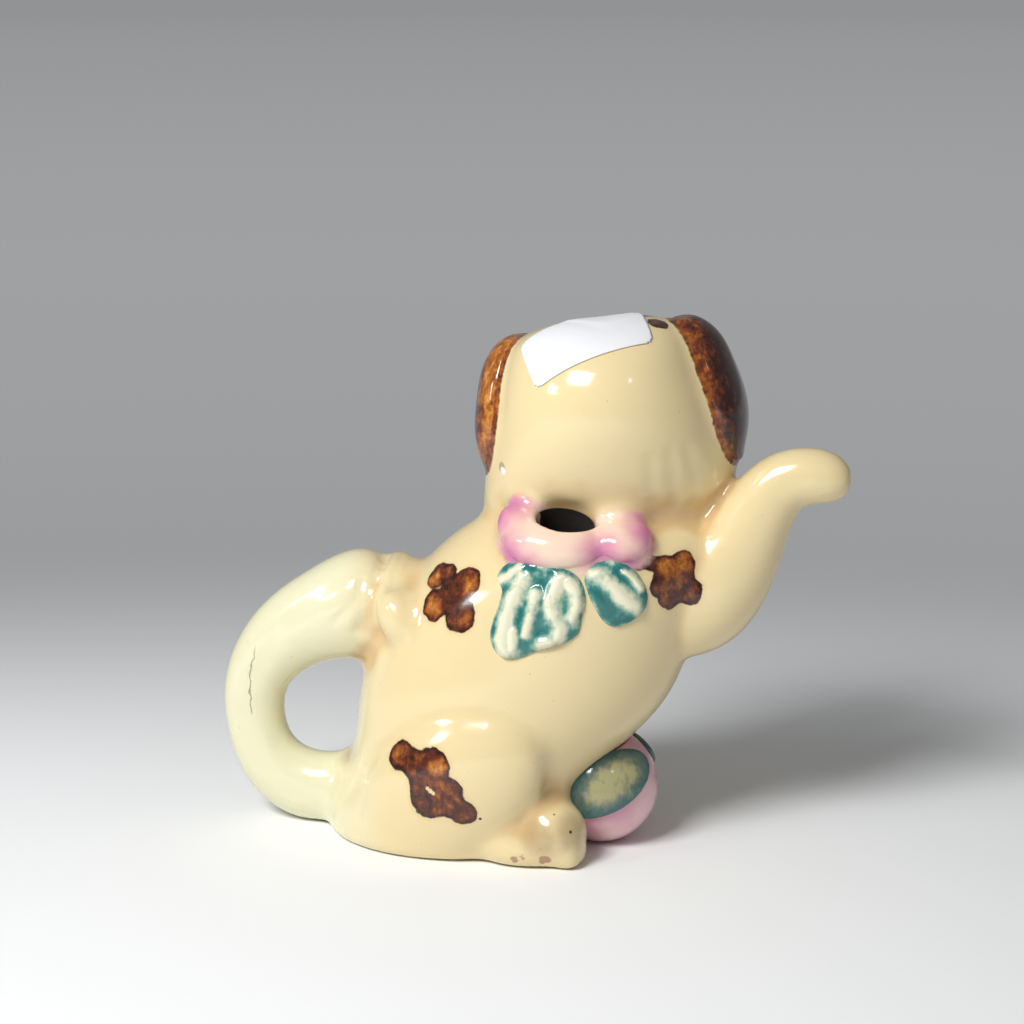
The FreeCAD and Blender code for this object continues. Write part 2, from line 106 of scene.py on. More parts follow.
# Lighter orange places inside the brown spots.
ORANGE_LOBES = (
    (-1.4, -15.0, 72.8, 2.8),
    (9.4, -22.6, 73.8, 2.6),
    (-0.6, -20.4, 66.6, 3.0),
    (8.8, -25.4, 65.4, 1.8),
    (60.0, -18.2, 79.8, 2.8),
    (64.4, -15.0, 80.4, 2.8),
    (63.0, -16.4, 76.4, 1.8),
    (3.0, -33.6, 27.4, 2.8),
    (4.0, -34.0, 23.6, 1.6),
    (-9.6, -28.0, 29.4, 2.0),
    (48.0, 4.0, 140.4, 2.4),
    (-2.0, 32.0, 27.0, 2.6),
    (34.0, 26.0, 72.0, 2.4),
)

# Places where shade is painted into the cream glaze as a warm, darker tint: above the mouth, low on the
# right of the head, on the near foot, beside the raised paw and in the corners of the tail loop.
SHADE_LOBES = (
    (30.0, -20.0, 100.5, 4.0),
    (38.0, -21.0, 101.0, 4.0),
    (67.0, -6.0, 92.0, 7.0),
    (58.0, -12.0, 95.0, 6.0),
    (29.0, -30.0, 8.0, 8.0),
    (37.0, -29.0, 8.0, 5.0),
    (32.0, -26.0, 15.0, 6.0),
    (37.0, -29.0, 12.0, 5.0),
    (75.5, -4.0, 97.5, 3.5),
    (79.0, -4.0, 101.5, 2.5),
    (101.0, -5.0, 88.0, 6.0),
    (-21.0, -12.0, 48.0, 5.0),
    (-27.5, -12.0, 24.0, 4.5),
)

# Painted shade in tan, in the corners of the tail loop and on the near foot.
TAN_SHADE_LOBES = (
    (-21.3, -12.0, 50.4, 2.6),
    (-22.5, -6.0, 49.4, 2.8),
    (-27.8, -12.0, 22.2, 2.6),
    (-29.0, -6.0, 21.4, 3.0),
    (29.5, -30.5, 9.0, 4.5),
    (36.5, -28.5, 10.5, 4.5),
)

# Chips through the glaze, a scratch in a brown spot, and specks.
CHIP_LOBES = ((22.6, -31.4, 3.0, 0.9), (30.6, -30.9, 3.2, 1.3), (24.6, -31.4, 4.2, 0.6))
SCRATCH_LOBES = ((0.2, -33.6, 21.8, 0.5), (1.0, -33.8, 21.2, 0.6), (1.8, -33.9, 20.7, 0.5))
SPECK_LOBES = (
    (32.6, -28.7, 15.2, 0.30),
    (37.2, -29.6, 10.9, 0.45),
    (14.1, -33.6, 14.4, 0.35),
    (-12.0, -18.2, 67.5, 0.25),
    (45.0, -22.0, 110.0, 0.25),
)

# The middle of a pale scar at the side of the head, and of its dark rim.
SCAR = (16.4, -13.0, 101.8)
SCAR_RIM = (16.2, -12.6, 102.6)

# The crack across the tail: how far back it reaches, at which height, and how strongly it bends.
CRACK_BACK = 53.9
CRACK_HEIGHT = 37.0
CRACK_BEND = 0.0115

# Magenta places on the flower: place and radius in millimetres.
MAGENTA_LOBES = (
    (19.4, -18.4, 95.2, 3.4),
    (16.6, -19.4, 91.0, 2.6),
    (19.4, -23.8, 82.4, 4.0),
    (24.4, -27.0, 80.0, 2.0),
    (43.6, -25.6, 84.0, 2.8),
    (45.6, -25.6, 81.4, 2.6),
    (55.6, -19.0, 88.4, 4.0),
    (54.4, -15.4, 92.8, 2.8),
    (50.6, -24.4, 80.8, 2.4),
)

# The paper label's corners and the middles of its edges, in rows from its near edge to its far edge.
LABEL_ROWS = (
    ((26.6, -20.9, 124.7), (40.7, -20.5, 133.2), (54.9, -13.5, 136.3)),
    ((23.0, -15.6, 130.0), (37.4, -13.6, 137.6), (52.4, -6.2, 140.1)),
    ((20.3, -8.6, 133.4), (34.2, -3.6, 140.8), (49.6, 1.8, 142.0)),
)
LABEL_SIZE = (31.0, 18.0)
LABEL_ROUNDING = 1.3
LABEL_CUTS = (70, 40)
LABEL_PASSES = 3

# The mouth: its middle, the direction in which it opens, the way of its shorter side and half its sides.
MOUTH = (33.3, -18.5, 90.2)
MOUTH_AXIS = (0.1315, -0.418, 0.899)
MOUTH_SIDE = (0.0305, 0.9078, 0.4184)
MOUTH_HALF = (7.5, 5.6)

# The bare throat, painted dark as shade: how wide its ring is beside the mouth, how softly it ends and how
# deep it starts.
THROAT_RING = 1.25
THROAT_FADE = 0.12
THROAT_DEPTH = 1.2

# The direction in which the dark of the mouth is seen from outside.
SIGHT = (0.150, -0.962, 0.229)

# The petals above the plane of the mouth: the share of their height that stays and how softly it starts.
PETAL_SHARE = 0.45
PETAL_SOFTNESS = 1.5

# How wide the creases of the flower are filled, as a share of the slip, its glaze coats and its sponging.
CREASE_SHARE = 1.1
FLOWER_COATS = 2.0
FLOWER_SPONGING = 24

# How each kind of single piece is made: share of the relief grain, coats of glaze and sponging.
FINISHES = {"ear": (1.4, 1.0, 6), "ball": (1.0, 0.0, 4), "panel": (0.6, 1.0, 3), "face": (0.8, 4.0, 14)}

# Outlines of the leaves, as places across and up in millimetres.
LARGE_LEAF = (
    (16.9, 75.6), (17.2, 77.6), (19.4, 79.8), (22.0, 80.5), (25.7, 80.9), (30.4, 80.3), (35.5, 79.5),
    (38.8, 76.7), (40.2, 72.5), (39.4, 68.0), (38.7, 63.9), (36.5, 61.7), (32.7, 60.1), (28.3, 58.8),
    (24.6, 57.0), (20.2, 56.3), (17.2, 58.1), (15.8, 61.6), (16.4, 65.8), (17.7, 69.6), (18.4, 73.4),
)
SMALL_LEAF = (
    (39.6, 77.4), (40.4, 79.3), (42.3, 81.1), (44.9, 81.8), (47.6, 81.7), (50.5, 80.5), (53.1, 78.0),
    (54.9, 74.4), (55.3, 71.0), (54.0, 68.2), (51.4, 66.0), (47.8, 64.9), (45.2, 66.0), (43.3, 68.6),
    (41.5, 71.9), (40.3, 74.8),
)

# Ribs of the leaves: half width and points, as places across and up in millimetres.
LARGE_RIBS = (
    (
        1.75,
        ((24.9, 77.4), (22.6, 73.6), (21.3, 69.8), (20.6, 66.7), (19.8, 63.3), (19.5, 60.3), (20.3, 57.9)),
    ),
    (1.5, ((22.0, 63.4), (22.0, 60.4), (21.6, 58.1))),
    (1.35, ((27.6, 72.9), (27.2, 70.1), (26.0, 66.3), (25.3, 63.2))),
    (
        1.8,
        (
            (33.9, 77.8), (32.7, 74.8), (31.6, 71.4), (32.3, 67.7), (33.7, 65.5), (33.4, 62.9),
            (31.6, 61.1), (29.2, 60.6),
        ),
    ),
    (1.6, ((35.5, 76.8), (37.9, 73.9), (38.3, 70.6), (37.0, 67.9))),
    (1.0, ((23.3, 79.9), (20.9, 76.7), (17.8, 75.0))),
)
SMALL_RIBS = (
    (1.8, ((42.4, 78.7), (44.6, 77.3), (47.3, 74.8), (50.4, 71.6), (51.9, 70.3))),
    (0.9, ((49.5, 79.2), (51.6, 77.2), (53.3, 74.9))),
)

# A leaf's sheet: its point distance as a share of the relief grain, the share of the margin that it
# keeps, its thickness as a share of its relief, and how often its bed and its lean are smoothed.
SHEET_GRAIN = 0.7
SHEET_CUT = 0.9
SHEET_THICKNESS = 1.2
BED_SMOOTHING = 4
LEAN_SMOOTHING = 10

# How far from a rib's line its relief and its pale glaze reach, as shares of its half width.
RIB_REACH = 1.1
RIB_GLOW = 1.3

# How pale a leaf's edge is beside its ribs, and how wide that edge is in millimetres.
EDGE_GLOW = 0.35
EDGE_WIDTH = 0.9

# Where the rays that lay a leaf on the body start in front of it, in metres.
RAY_FRONT = -0.08

# How wide the teal rim of a ball panel is before its olive middle is reached, in millimetres.
PANEL_RIM = 4.0

# Strokes of a modelling tool on the body: points, half width and depth in millimetres.
STROKES = (
    # between the locks where the tail meets the back
    (((-18.2, 4.0, 77.0), (-17.4, -4.5, 74.6), (-17.6, -8.0, 70.0)), 1.5, 2.0),
    (((-18.0, -9.0, 69.0), (-19.5, -11.8, 63.0), (-22.4, -11.7, 57.0)), 2.0, 0.8),
    (((-13.0, 2.0, 77.0), (-13.6, -6.0, 73.5), (-13.0, -14.0, 69.5)), 1.0, 0.5),
    # along the tail
    (((-21.9, -9.8, 70.3), (-23.1, -12.0, 65.4), (-30.0, -12.4, 58.0)), 1.0, 0.5),
    (((-24.0, -9.5, 74.0), (-35.0, -11.5, 66.0), (-46.0, -10.5, 54.0), (-53.0, -8.6, 41.0)), 2.6, 0.5),
    (((-57.0, -6.5, 30.0), (-52.0, -8.0, 18.0), (-42.0, -9.0, 9.0)), 2.4, 0.4),
    # at the root of the tail
    (((-31.0, -14.5, 20.0), (-31.5, -15.0, 11.0), (-32.0, -14.0, 4.0)), 1.8, 0.6),
    (((-25.5, -20.0, 16.0), (-26.0, -20.0, 9.0), (-26.5, -19.0, 4.0)), 1.6, 0.4),
    (((-20.0, -23.5, 17.0), (-20.5, -23.5, 10.0), (-21.0, -22.5, 4.0)), 1.8, 0.5),
    # between the jowls and below them
    (((42.2, 37.0, 107.0), (42.6, 36.5, 101.0), (43.0, 34.5, 95.5)), 1.2, 0.7),
    (((43.0, 34.5, 95.5), (38.0, 35.0, 93.5), (32.0, 33.0, 95.5)), 1.1, 0.6),
    (((43.0, 34.5, 95.5), (48.5, 35.0, 94.0), (54.0, 33.0, 97.5)), 1.1, 0.6),
    # on the cheek
    (((55.4, -20.9, 107.7), (55.6, -18.6, 102.0), (55.2, -14.8, 96.0)), 1.9, 0.25),
    (((60.2, -18.6, 108.7), (61.0, -15.6, 101.0), (60.0, -11.3, 94.1)), 2.0, 0.30),
    (((64.4, -15.5, 109.0), (66.0, -11.6, 101.5), (64.6, -8.6, 94.5)), 2.0, 0.30),
)

# Where the crown swells a little under the label: points, half width and height in millimetres.
CROWN_SWELLS = (
    (((32.0, -4.0, 138.5), (32.0, -3.9, 138.5)), 11.0, 1.8),
    (((47.0, 0.0, 140.0), (47.0, 0.1, 140.0)), 8.0, 0.9),
)

# How far the skin looks for the ears, the flower and the ball, and an ear for the head, in millimetres.
SKIN_REACH = 6.0
EAR_REACH = 12.0

# How strongly a hollow of the skin gathers glaze, and over how many neighbours the pool spreads.
POOL_GAIN = 12.0
POOL_SPREAD = 10

# The rays that look for open air from the skin: their number, turn from one to the next and start off it.
AIR_RAYS = 12
AIR_TURN = 2.39996
AIR_LIFT = 0.4

# A glaze: how much its roughness varies, how high in millimetres and how strong its ripples are, its coat.
HAZE = 0.10
RIPPLE_HEIGHT = 0.4
RIPPLE_STRENGTH = 0.12
RIPPLE_SHARE = 0.5
COAT = 0.3
COAT_ROUGHNESS = 0.03
GLAZE_IOR = 1.5

# The paper: its roughness, and its tooth's height in millimetres and strength.
PAPER_ROUGHNESS = 0.75
TOOTH_HEIGHT = 0.1
TOOTH_STRENGTH = 0.15

# The floor: half its width in metres, the place from which it fades, and where its fade starts and ends.
FLOOR_HALF = 12.0
FLOOR_NEAR = (90.0, -680.0, 0.0)
FADE_START = 705.0
FADE_END = 1020.0

# The grey of the backdrop from near to far, as shares of its reach in millimetres, and round the floor.
BACKDROP_REACH = 6000.0
BACKDROP = (
    (0.10, (0.300, 0.308, 0.316)),
    (0.20, (0.335, 0.344, 0.352)),
    (0.30, (0.350, 0.358, 0.366)),
    (0.60, (0.320, 0.328, 0.336)),
    (1.0, (0.285, 0.292, 0.300)),
)
HORIZON = (0.36, 0.37, 0.38)

# The lamps: name, place, width and height in metres, and power as a share of the key lamp's.
LAMPS = (
    ("Key lamp", (-0.29, -0.63, 0.70), 0.34, 0.26, 1.0),
    ("Window lamp", (-0.66, -0.50, 0.41), 0.16, 0.14, 0.12),
    ("Side lamp", (0.62, -0.80, 0.80), 0.05, 0.10, 0.02),
)
LAMP_AIM = (0.03, 0.0, 0.07)

# What the camera looks at in metres, and the width of its sensor in millimetres.
CAMERA_AIM = (0.0165, 0.0, 0.088)
SENSOR = 36.0


def length_property(name, description, millimetres):
    """A length setting, given in millimetres."""
    return bpy.props.FloatProperty(
        name=name,
        description=description,
        default=millimetres * MM,
        unit="LENGTH",
        subtype="DISTANCE",
    )


def angle_property(name, description, degrees):
    """An angle setting, given in degrees."""
    return bpy.props.FloatProperty(
        name=name,
        description=description,
        default=math.radians(degrees),
        unit="ROTATION",
        subtype="ANGLE",
    )


def colour_property(name, description, colour):
    """A colour setting."""
    return bpy.props.FloatVectorProperty(
        name=name, description=description, default=colour, size=3, subtype="COLOR", min=0.0, max=1.0
    )


class ShapeSettings(bpy.types.PropertyGroup):
    """Sizes that shape the cast and what is laid on it."""

    grain: length_property("Grain", "Distance between neighbouring points of the cast body", 1.1)
    slip: length_property("Slip", "Radius of the slip in the corners between joined pieces", 2.0)
    sponging: bpy.props.IntProperty(
        name="Sponging", description="How many times the soft clay is smoothed over", default=14, min=0
    )
    relief_grain: length_property("Relief grain", "Distance between points of small pieces", 0.5)
    glaze: length_property("Glaze", "How far one coat stands proud of the body", 0.15)
    label_lift: length_property("Label lift", "Least gap between the paper label and the crown", 0.25)
    label_gap: length_property("Label gap", "Widest gap between the paper label and the crown", 0.6)
    leaf_margin: length_property("Leaf margin", "How far a leaf reaches under the skin round its edge", 0.9)
    leaf_edge: length_property("Leaf edge", "Width of a leaf's rounded edge", 2.4)
    leaf_relief: length_property("Leaf relief", "Height of a leaf between its ribs", 1.2)
    rib_relief: length_property("Rib relief", "Height of the ribs on a leaf", 1.15)
    paper: length_property("Paper", "Thickness of the paper label", 0.14)


class ColourSettings(bpy.types.PropertyGroup):
    """Colours of the glazes, the clay, the paper and the floor."""

    cream: colour_property("Cream", "Glaze of the body", (0.790, 0.645, 0.360))
    # Warm cream also paints shade at the shade lobes.
    warm: colour_property("Warm cream", "Glaze where it pools", (0.690, 0.480, 0.235))
    # Tan is painted shade, in the corners of the tail loop and on the near foot.
    tan: colour_property("Tan", "Stains in corners", (0.360, 0.240, 0.120))
    pale: colour_property("Pale cream", "Glaze of the tail", (0.770, 0.750, 0.520))
    brown: colour_property("Brown", "Dark of the spots and ears", (0.030, 0.008, 0.005))
    chestnut: colour_property("Chestnut", "Brown of the spots and ears", (0.125, 0.028, 0.010))
    orange: colour_property("Orange", "Light of the spots and ears", (0.370, 0.112, 0.018))
    gold: colour_property("Gold", "Brightest of the spots and ears", (0.680, 0.310, 0.060))
    # Inside is the unglazed hollow and throat, painted near black as their shade.
    inside: colour_property("Inside", "Bare clay in the hollow", (0.035, 0.032, 0.030))
    blush: colour_property("Blush", "Middle of the petals", (0.880, 0.660, 0.520))
    pink: colour_property("Pink", "Sides of the petals", (0.760, 0.400, 0.420))
    magenta: colour_property("Magenta", "Strongest pink", (0.600, 0.185, 0.370))
    teal: colour_property("Teal", "Grooves of the leaves", (0.020, 0.150, 0.140))
    shallow: colour_property("Shallow teal", "Beside the grooves of the leaves", (0.055, 0.230, 0.200))
    mist: colour_property("Mist", "Where teal runs into the ribs", (0.360, 0.480, 0.370))
    rib: colour_property("Rib", "Ribs of the leaves", (0.780, 0.760, 0.560))
    ball: colour_property("Ball", "Pink of the ball", (0.840, 0.540, 0.550))
    rose: colour_property("Rose", "Deeper pink of the ball", (0.760, 0.380, 0.500))
    slate: colour_property("Slate", "Rim of the ball's panels", (0.045, 0.125, 0.125))
    moss: colour_property("Moss", "Inside the rim of the ball's panels", (0.150, 0.190, 0.140))
    olive: colour_property("Olive", "Middle of the ball's panels", (0.400, 0.370, 0.190))
    black: colour_property("Black", "Eyes and nose", (0.012, 0.010, 0.010))
    paper: colour_property("Paper", "Label", (0.800, 0.810, 0.840))
    fibre: colour_property("Fibre", "Tooth of the label", (0.800, 0.800, 0.800))
    chip: colour_property("Chip", "Clay where the glaze is chipped", (0.440, 0.260, 0.160))
    floor: colour_property("Floor", "Table round the planter", (0.950, 0.965, 0.975))


class StageSettings(bpy.types.PropertyGroup):
    """Where the camera stands and how bright the lamps are."""

    azimuth: angle_property("Azimuth", "Angle of the camera round the planter", 10)
    elevation: angle_property("Elevation", "Angle of the camera above the table", 13)
    distance: length_property("Distance", "How far the camera stands from what it looks at", 700)
    lens: bpy.props.FloatProperty(
        name="Lens", description="Focal length of the camera in millimetres", default=93.5
    )
    key_power: bpy.props.FloatProperty(
        name="Key lamp", description="Power of the large lamp at the front left, in watts", default=7.7
    )
    sky: bpy.props.FloatProperty(
        name="Surroundings", description="Brightness of the soft light from all round", default=0.20
    )


class Field:
    """A socket of a material, so that maths on it reads as a plain expression."""

    def __init__(self, shader, socket):
        self.shader = shader
        self.socket = socket

    def maths(self, operation, first, second=0.0):
        """Adds one Math node."""
        return self.shader.node("ShaderNodeMath", {"operation": operation}, {0: first, 1: second})

    def __add__(self, other):
        return self.maths("ADD", self, other)

    __radd__ = __add__

    def __mul__(self, other):
        return self.maths("MULTIPLY", self, other)

    __rmul__ = __mul__

    def __sub__(self, other):
        return self.maths("SUBTRACT", self, other)

    def __rsub__(self, other):
        return self.maths("SUBTRACT", other, self)

    def __truediv__(self, other):
        return self.maths("DIVIDE", self, other)

    def __rtruediv__(self, other):
        return self.maths("DIVIDE", other, self)


class Shader:
    """Builds the nodes of one material or world."""

    def __init__(self, tree):
        self.tree = tree
        tree.nodes.clear()

    def node(self, kind, settings, values, output=0):
        """Adds a node: first its settings, then the numbers or links of its sockets."""
        made = self.tree.nodes.new(kind)
        for key, value in settings.items():
            if key == "stops":
                ramp = made.color_ramp
                for place, colour in value[1:-1]:
                    ramp.elements.new(place)
                for element, (place, colour) in zip(ramp.elements, value):
                    element.position = place
                    element.color = (*colour, 1.0)
            else:
                setattr(made, key, value)
        for key, value in values.items():
            if isinstance(value, Field):
                self.tree.links.new(value.socket, made.inputs[key])
            else:
                made.inputs[key].default_value = value
        return Field(self, made.outputs[output]) if made.outputs else None

    def place(self):
        """The point on the piece, in millimetres."""
        point = self.node("ShaderNodeTexCoord", {}, {}, "Object")
        return self.node("ShaderNodeVectorMath", {"operation": "SCALE"}, {0: point, "Scale": 1 / MM})

    def vector(self, operation, first, second, output=0):
        """Vector Math on two vectors."""
        return self.node("ShaderNodeVectorMath", {"operation": operation}, {0: first, 1: second}, output)

    def distance(self, point, centre):
        """How far the point is from a centre."""
        return self.vector("DISTANCE", point, centre, "Value")

    def dot(self, first, second):
        """The dot product of two vectors."""
        return self.vector("DOT_PRODUCT", first, second, "Value")

    def parts(self, point):
        """The X, Y and Z of a point."""
        split = self.node("ShaderNodeSeparateXYZ", {}, {0: point}).socket.node
        return [Field(self, socket) for socket in split.outputs]

    def ramp(self, value, *stops):
        """The colour at a value between stops, each a place and its colour."""
        return self.node("ShaderNodeValToRGB", {"stops": stops}, {"Fac": value})

    def noise(self, point, scale, detail=2.0, roughness=0.5):
        """Cloudy noise from 0 to 1 whose scale is per millimetre."""
        values = {"Vector": point, "Scale": scale, "Detail": detail, "Roughness": roughness}
        return self.node("ShaderNodeTexNoise", {}, values)

    def sway(self, point, scale, detail=2.0, roughness=0.5):
        """Cloudy noise to both sides of 0."""
        return self.noise(point, scale, detail, roughness) - 0.5

    def streaks(self, point, scale, drawn):
        """Noise to both sides of 0 whose clouds are drawn out downwards."""
        tall = self.vector("MULTIPLY", point, (1.0, 1.0, drawn))
        return self.sway(tall, scale, detail=3.0, roughness=0.6)

    def rise(self, value, low, high):
        """Rises smoothly from 0 at low to 1 at high."""
        return self.node(
            "ShaderNodeMapRange",
            {"interpolation_type": "SMOOTHSTEP"},
            {"Value": value, "From Min": low, "From Max": high},
        )

    def fall(self, value, low, high):
        """Falls smoothly from 1 at low to 0 at high."""
        return 1.0 - self.rise(value, low, high)

    def mix(self, factor, first, second):
        """The first colour at 0 and the second at 1."""
        settings = {"data_type": "RGBA"}
        values = {0: factor, 6: tint(first), 7: tint(second)}
        return self.node("ShaderNodeMix", settings, values, 2)

    def attribute(self, name):
        """A value kept on the points of the mesh."""
        return self.node("ShaderNodeAttribute", {"attribute_name": name}, {}, "Fac")

    def lobes(self, point, spots, blend):
        """How far outside a group of round lobes the point is, below zero inside them."""
        nearest = None
        for x, y, z, radius in spots:
            gap = self.distance(point, (x, y, z)) - radius
            if nearest is None:
                nearest = gap
            else:
                values = {0: nearest, 1: gap, 2: blend}
                nearest = self.node("ShaderNodeMath", {"operation": "SMOOTH_MIN"}, values)
        return nearest

    def surface(self, bump, values):
        """The material's output, a principled surface with a bump."""
        values["Normal"] = self.node("ShaderNodeBump", {}, bump)
        finish = self.node("ShaderNodeBsdfPrincipled", {}, values)
        self.node("ShaderNodeOutputMaterial", {}, {"Surface": finish})


def tint(colour):
    """A colour for a socket: a link stays, numbers get their alpha."""
    return colour if isinstance(colour, Field) else (*colour, 1.0)


def new_material(name):
    """A material and the shader that builds it."""
    material = bpy.data.materials.new(name)
    material.use_nodes = True
    return material, Shader(material.node_tree)


def glazed(name, paint, colours, roughness=0.08):
    """A glossy fired glaze whose colour comes from a paint."""
    material, shader = new_material(name)
    point = shader.place()
    colour = paint(shader, point, colours)
    haze = shader.noise(point, scale=0.11, detail=3.0) * HAZE + roughness
    ripple = shader.noise(point, scale=0.22) * RIPPLE_SHARE
    shader.surface(
        {"Height": ripple, "Strength": RIPPLE_STRENGTH, "Distance": RIPPLE_HEIGHT * MM},
        {
            "Base Color": colour,
            "Roughness": haze,
            "IOR": GLAZE_IOR,
            "Coat Weight": COAT,
            "Coat Roughness": COAT_ROUGHNESS,
        },
    )
    return material


def brown_colour(shader, point, colours, light, grain=0.5):
    """Brown glaze that breaks to orange and gold where light is high."""
    cloud = shader.sway(point, scale=0.40, detail=5.0, roughness=0.68)
    vein = shader.streaks(point, scale=0.9, drawn=0.4)
    return shader.ramp(
        light + cloud * 1.6 + vein * grain,
        (0.0, colours.brown),
        (0.32, colours.chestnut),
        (0.66, colours.orange),
        (1.0, colours.gold),
    )


def cream_colour(shader, point, colours):
    """Cream glaze, warm where it pools and where shade is painted, and pale towards the tail."""
    x, _, _ = shader.parts(point)
    drift = shader.sway(point, scale=0.035)
    # Painted shade: the shade lobes tint the glaze warm and darker.
    painted_shade = shader.fall(shader.lobes(point, SHADE_LOBES, blend=4.0), low=-5.0, high=3.0)
    pooling_and_shade = shader.rise(
        shader.attribute("pool") * 1.3 + drift * 0.5 + painted_shade * 0.56, low=0.02, high=0.80
    )
    tail = shader.rise(drift * 14.0 - x, low=8.0, high=34.0)
    colour = shader.mix(pooling_and_shade, colours.cream, colours.warm)
    return shader.mix(tail * (1.0 - pooling_and_shade) * 0.9, colour, colours.pale)


def spotted(shader, point, colour, colours):
    """Painted tan shade and brown spots over a colour, with a scratch and orange places in the spots."""
    wobble = shader.sway(point, scale=0.30, detail=3.0) * 2.0
    # Painted shade: tan in the corners of the tail loop and on the near foot.
    tan_shade = shader.fall(shader.lobes(point, TAN_SHADE_LOBES, blend=2.0) + wobble, low=-2.6, high=2.4)
    colour = shader.mix(tan_shade * 0.55, colour, colours.tan)
    gap = shader.lobes(point, BROWN_LOBES, blend=2.0) + wobble
    colour = shader.mix(shader.fall(gap, low=0.0, high=1.6) * 0.35, colour, colours.warm)
    inner = shader.lobes(point, ORANGE_LOBES, blend=1.0) + wobble * 0.6
    light = 0.72 - shader.rise(inner, low=-2.4, high=1.8) * 0.48
    light = light - shader.rise(gap, low=-1.4, high=-0.2) * 0.25
    unscratched = shader.rise(shader.lobes(point, SCRATCH_LOBES, blend=0.3), low=-0.1, high=0.2)
    spot = shader.fall(gap, low=-0.2, high=0.2) * unscratched
    return shader.mix(spot, colour, brown_colour(shader, point, colours, light))


def crept(shader, point, edge, colour, colours):
    """The glazes of the ears, the flower and the ball where they creep over a colour."""
    near_ear = shader.fall(shader.attribute("near_ear") + edge * 0.6, low=1.0, high=1.5)
    colour = shader.mix(near_ear, colour, brown_colour(shader, point, colours, light=0.45))
    near_petal = shader.fall(shader.attribute("near_petal") + edge, low=0.8, high=3.0)
    colour = shader.mix(near_petal, colour, petal_colour(shader, point, colours))
    near_ball = shader.fall(shader.attribute("near_ball") + edge, low=0.0, high=0.8)
    return shader.mix(near_ball, colour, colours.magenta)


def body_colour(shader, point, colours):
    """Cream glaze with brown spots, the edges of its neighbours' glazes, wear, and a bare inside painted
    near black as shade.
    """
    edge = shader.sway(point, scale=0.8) * 1.6
    colour = spotted(shader, point, cream_colour(shader, point, colours), colours)
    colour = crept(shader, point, edge, colour, colours)
    colour = shader.mix(marks(shader, point), colour, colours.brown)
    chip = shader.fall(shader.lobes(point, CHIP_LOBES, blend=0.3) + edge * 1.4, low=-0.2, high=0.3)
    colour = shader.mix(chip, colour, colours.chip)
    scar = shader.rise(shader.distance(point, SCAR) + edge * 0.4, low=0.9, high=1.3)
    colour = shader.mix(scar, colours.paper, colour)
    # Painted shade: the far wall of the mouth and the hollow inside are near black.
    colour = shader.mix(mouth_shade(shader, point), colour, colours.inside)
    return shader.mix(shader.attribute("inside"), colour, colours.inside)


def mouth_shade(shader, point):
    """Is 1 on the far wall of the mouth, where nothing but its dark is seen."""
    side = np.array(MOUTH_SIDE)
    length = np.cross(side, MOUTH_AXIS)
    offset = shader.vector("SUBTRACT", point, MOUTH)
    rise = shader.dot(offset, MOUTH_AXIS) / float(np.dot(SIGHT, MOUTH_AXIS))
    along = (shader.dot(offset, tuple(length)) - rise * float(length @ SIGHT)) / MOUTH_HALF[0]
    back = (shader.dot(offset, MOUTH_SIDE) - rise * float(side @ SIGHT)) / MOUTH_HALF[1]
    ring = shader.fall(along * along + back * back, low=0.96, high=1.10)
    far_wall = shader.rise(shader.dot(offset, MOUTH_SIDE), low=-2.0, high=0.0)
    return ring * far_wall * shader.rise(rise, low=-9.0, high=-8.0)


def marks(shader, point):
    """The specks, the rim of the scar and the crack across the tail."""
    x, y, z = shader.parts(point)
    speck = shader.fall(shader.lobes(point, SPECK_LOBES, blend=0.1), low=-0.1, high=0.2)
    rim = shader.fall(shader.distance(point, SCAR_RIM), low=1.3, high=1.7)
    above = z - CRACK_HEIGHT
    bend = above * above * CRACK_BEND
    off = x + CRACK_BACK - bend + shader.sway(point, scale=0.25, detail=3.0) * 3.0
    line = shader.fall(off * off, low=0.01, high=0.07)
    ends = shader.rise(z, low=30.0, high=32.0) * shader.fall(z, low=48.0, high=51.0)
    front = shader.fall(y, low=-4.0, high=-2.0)
    dust = shader.rise(shader.noise(point, scale=1.3, detail=1.0), low=0.79, high=0.83)
    return speck + rim * 0.45 + line * ends * front * 0.55 + dust * 0.5


def petal_colour(shader, point, colours):
    """Pink glaze, pale in the middle and magenta at the rims."""
    gap = shader.lobes(point, MAGENTA_LOBES, blend=2.0) + shader.sway(point, scale=0.25) * 3.0
    colour = shader.mix(shader.fall(gap, low=0.5, high=6.0), colours.blush, colours.pink)
    return shader.mix(shader.fall(gap, low=-2.6, high=2.0), colour, colours.magenta)


def ear_colour(shader, point, colours):
    """Brown glaze, orange where the ear leaves the head and gold over most of the left ear."""
    x, _, z = shader.parts(point)
    from_head = shader.attribute("near_head")
    left = shader.fall(x, low=35.0, high=40.0)
    high = shader.rise(z + shader.noise(point, scale=0.15) * 8.0, low=100.0, high=116.0)
    reach = left * 3.4 + shader.rise(z, low=104.0, high=136.0) * 3.0 + 2.2
    inner = shader.rise(from_head, low=0.2, high=1.6) * left + (1.0 - left)
    light = shader.fall(from_head / reach, low=0.50, high=1.15) * (high * left * 0.34 + 0.34)
    return brown_colour(shader, point, colours, light * (inner * 0.7 + 0.3) + 0.02, grain=0.9)


def leaf_colour(shader, point, colours):
    """Teal glaze that runs off the cream ribs."""
    cloud = shader.sway(point, scale=0.24, detail=3.0) * 1.5
    fine = shader.streaks(point, scale=1.0, drawn=0.5) * 0.5
    return shader.ramp(
        (shader.attribute("rib") + cloud + fine) * 1.1,
        (0.05, colours.teal),
        (0.28, colours.shallow),
        (0.55, colours.mist),
        (0.90, colours.rib),
    )


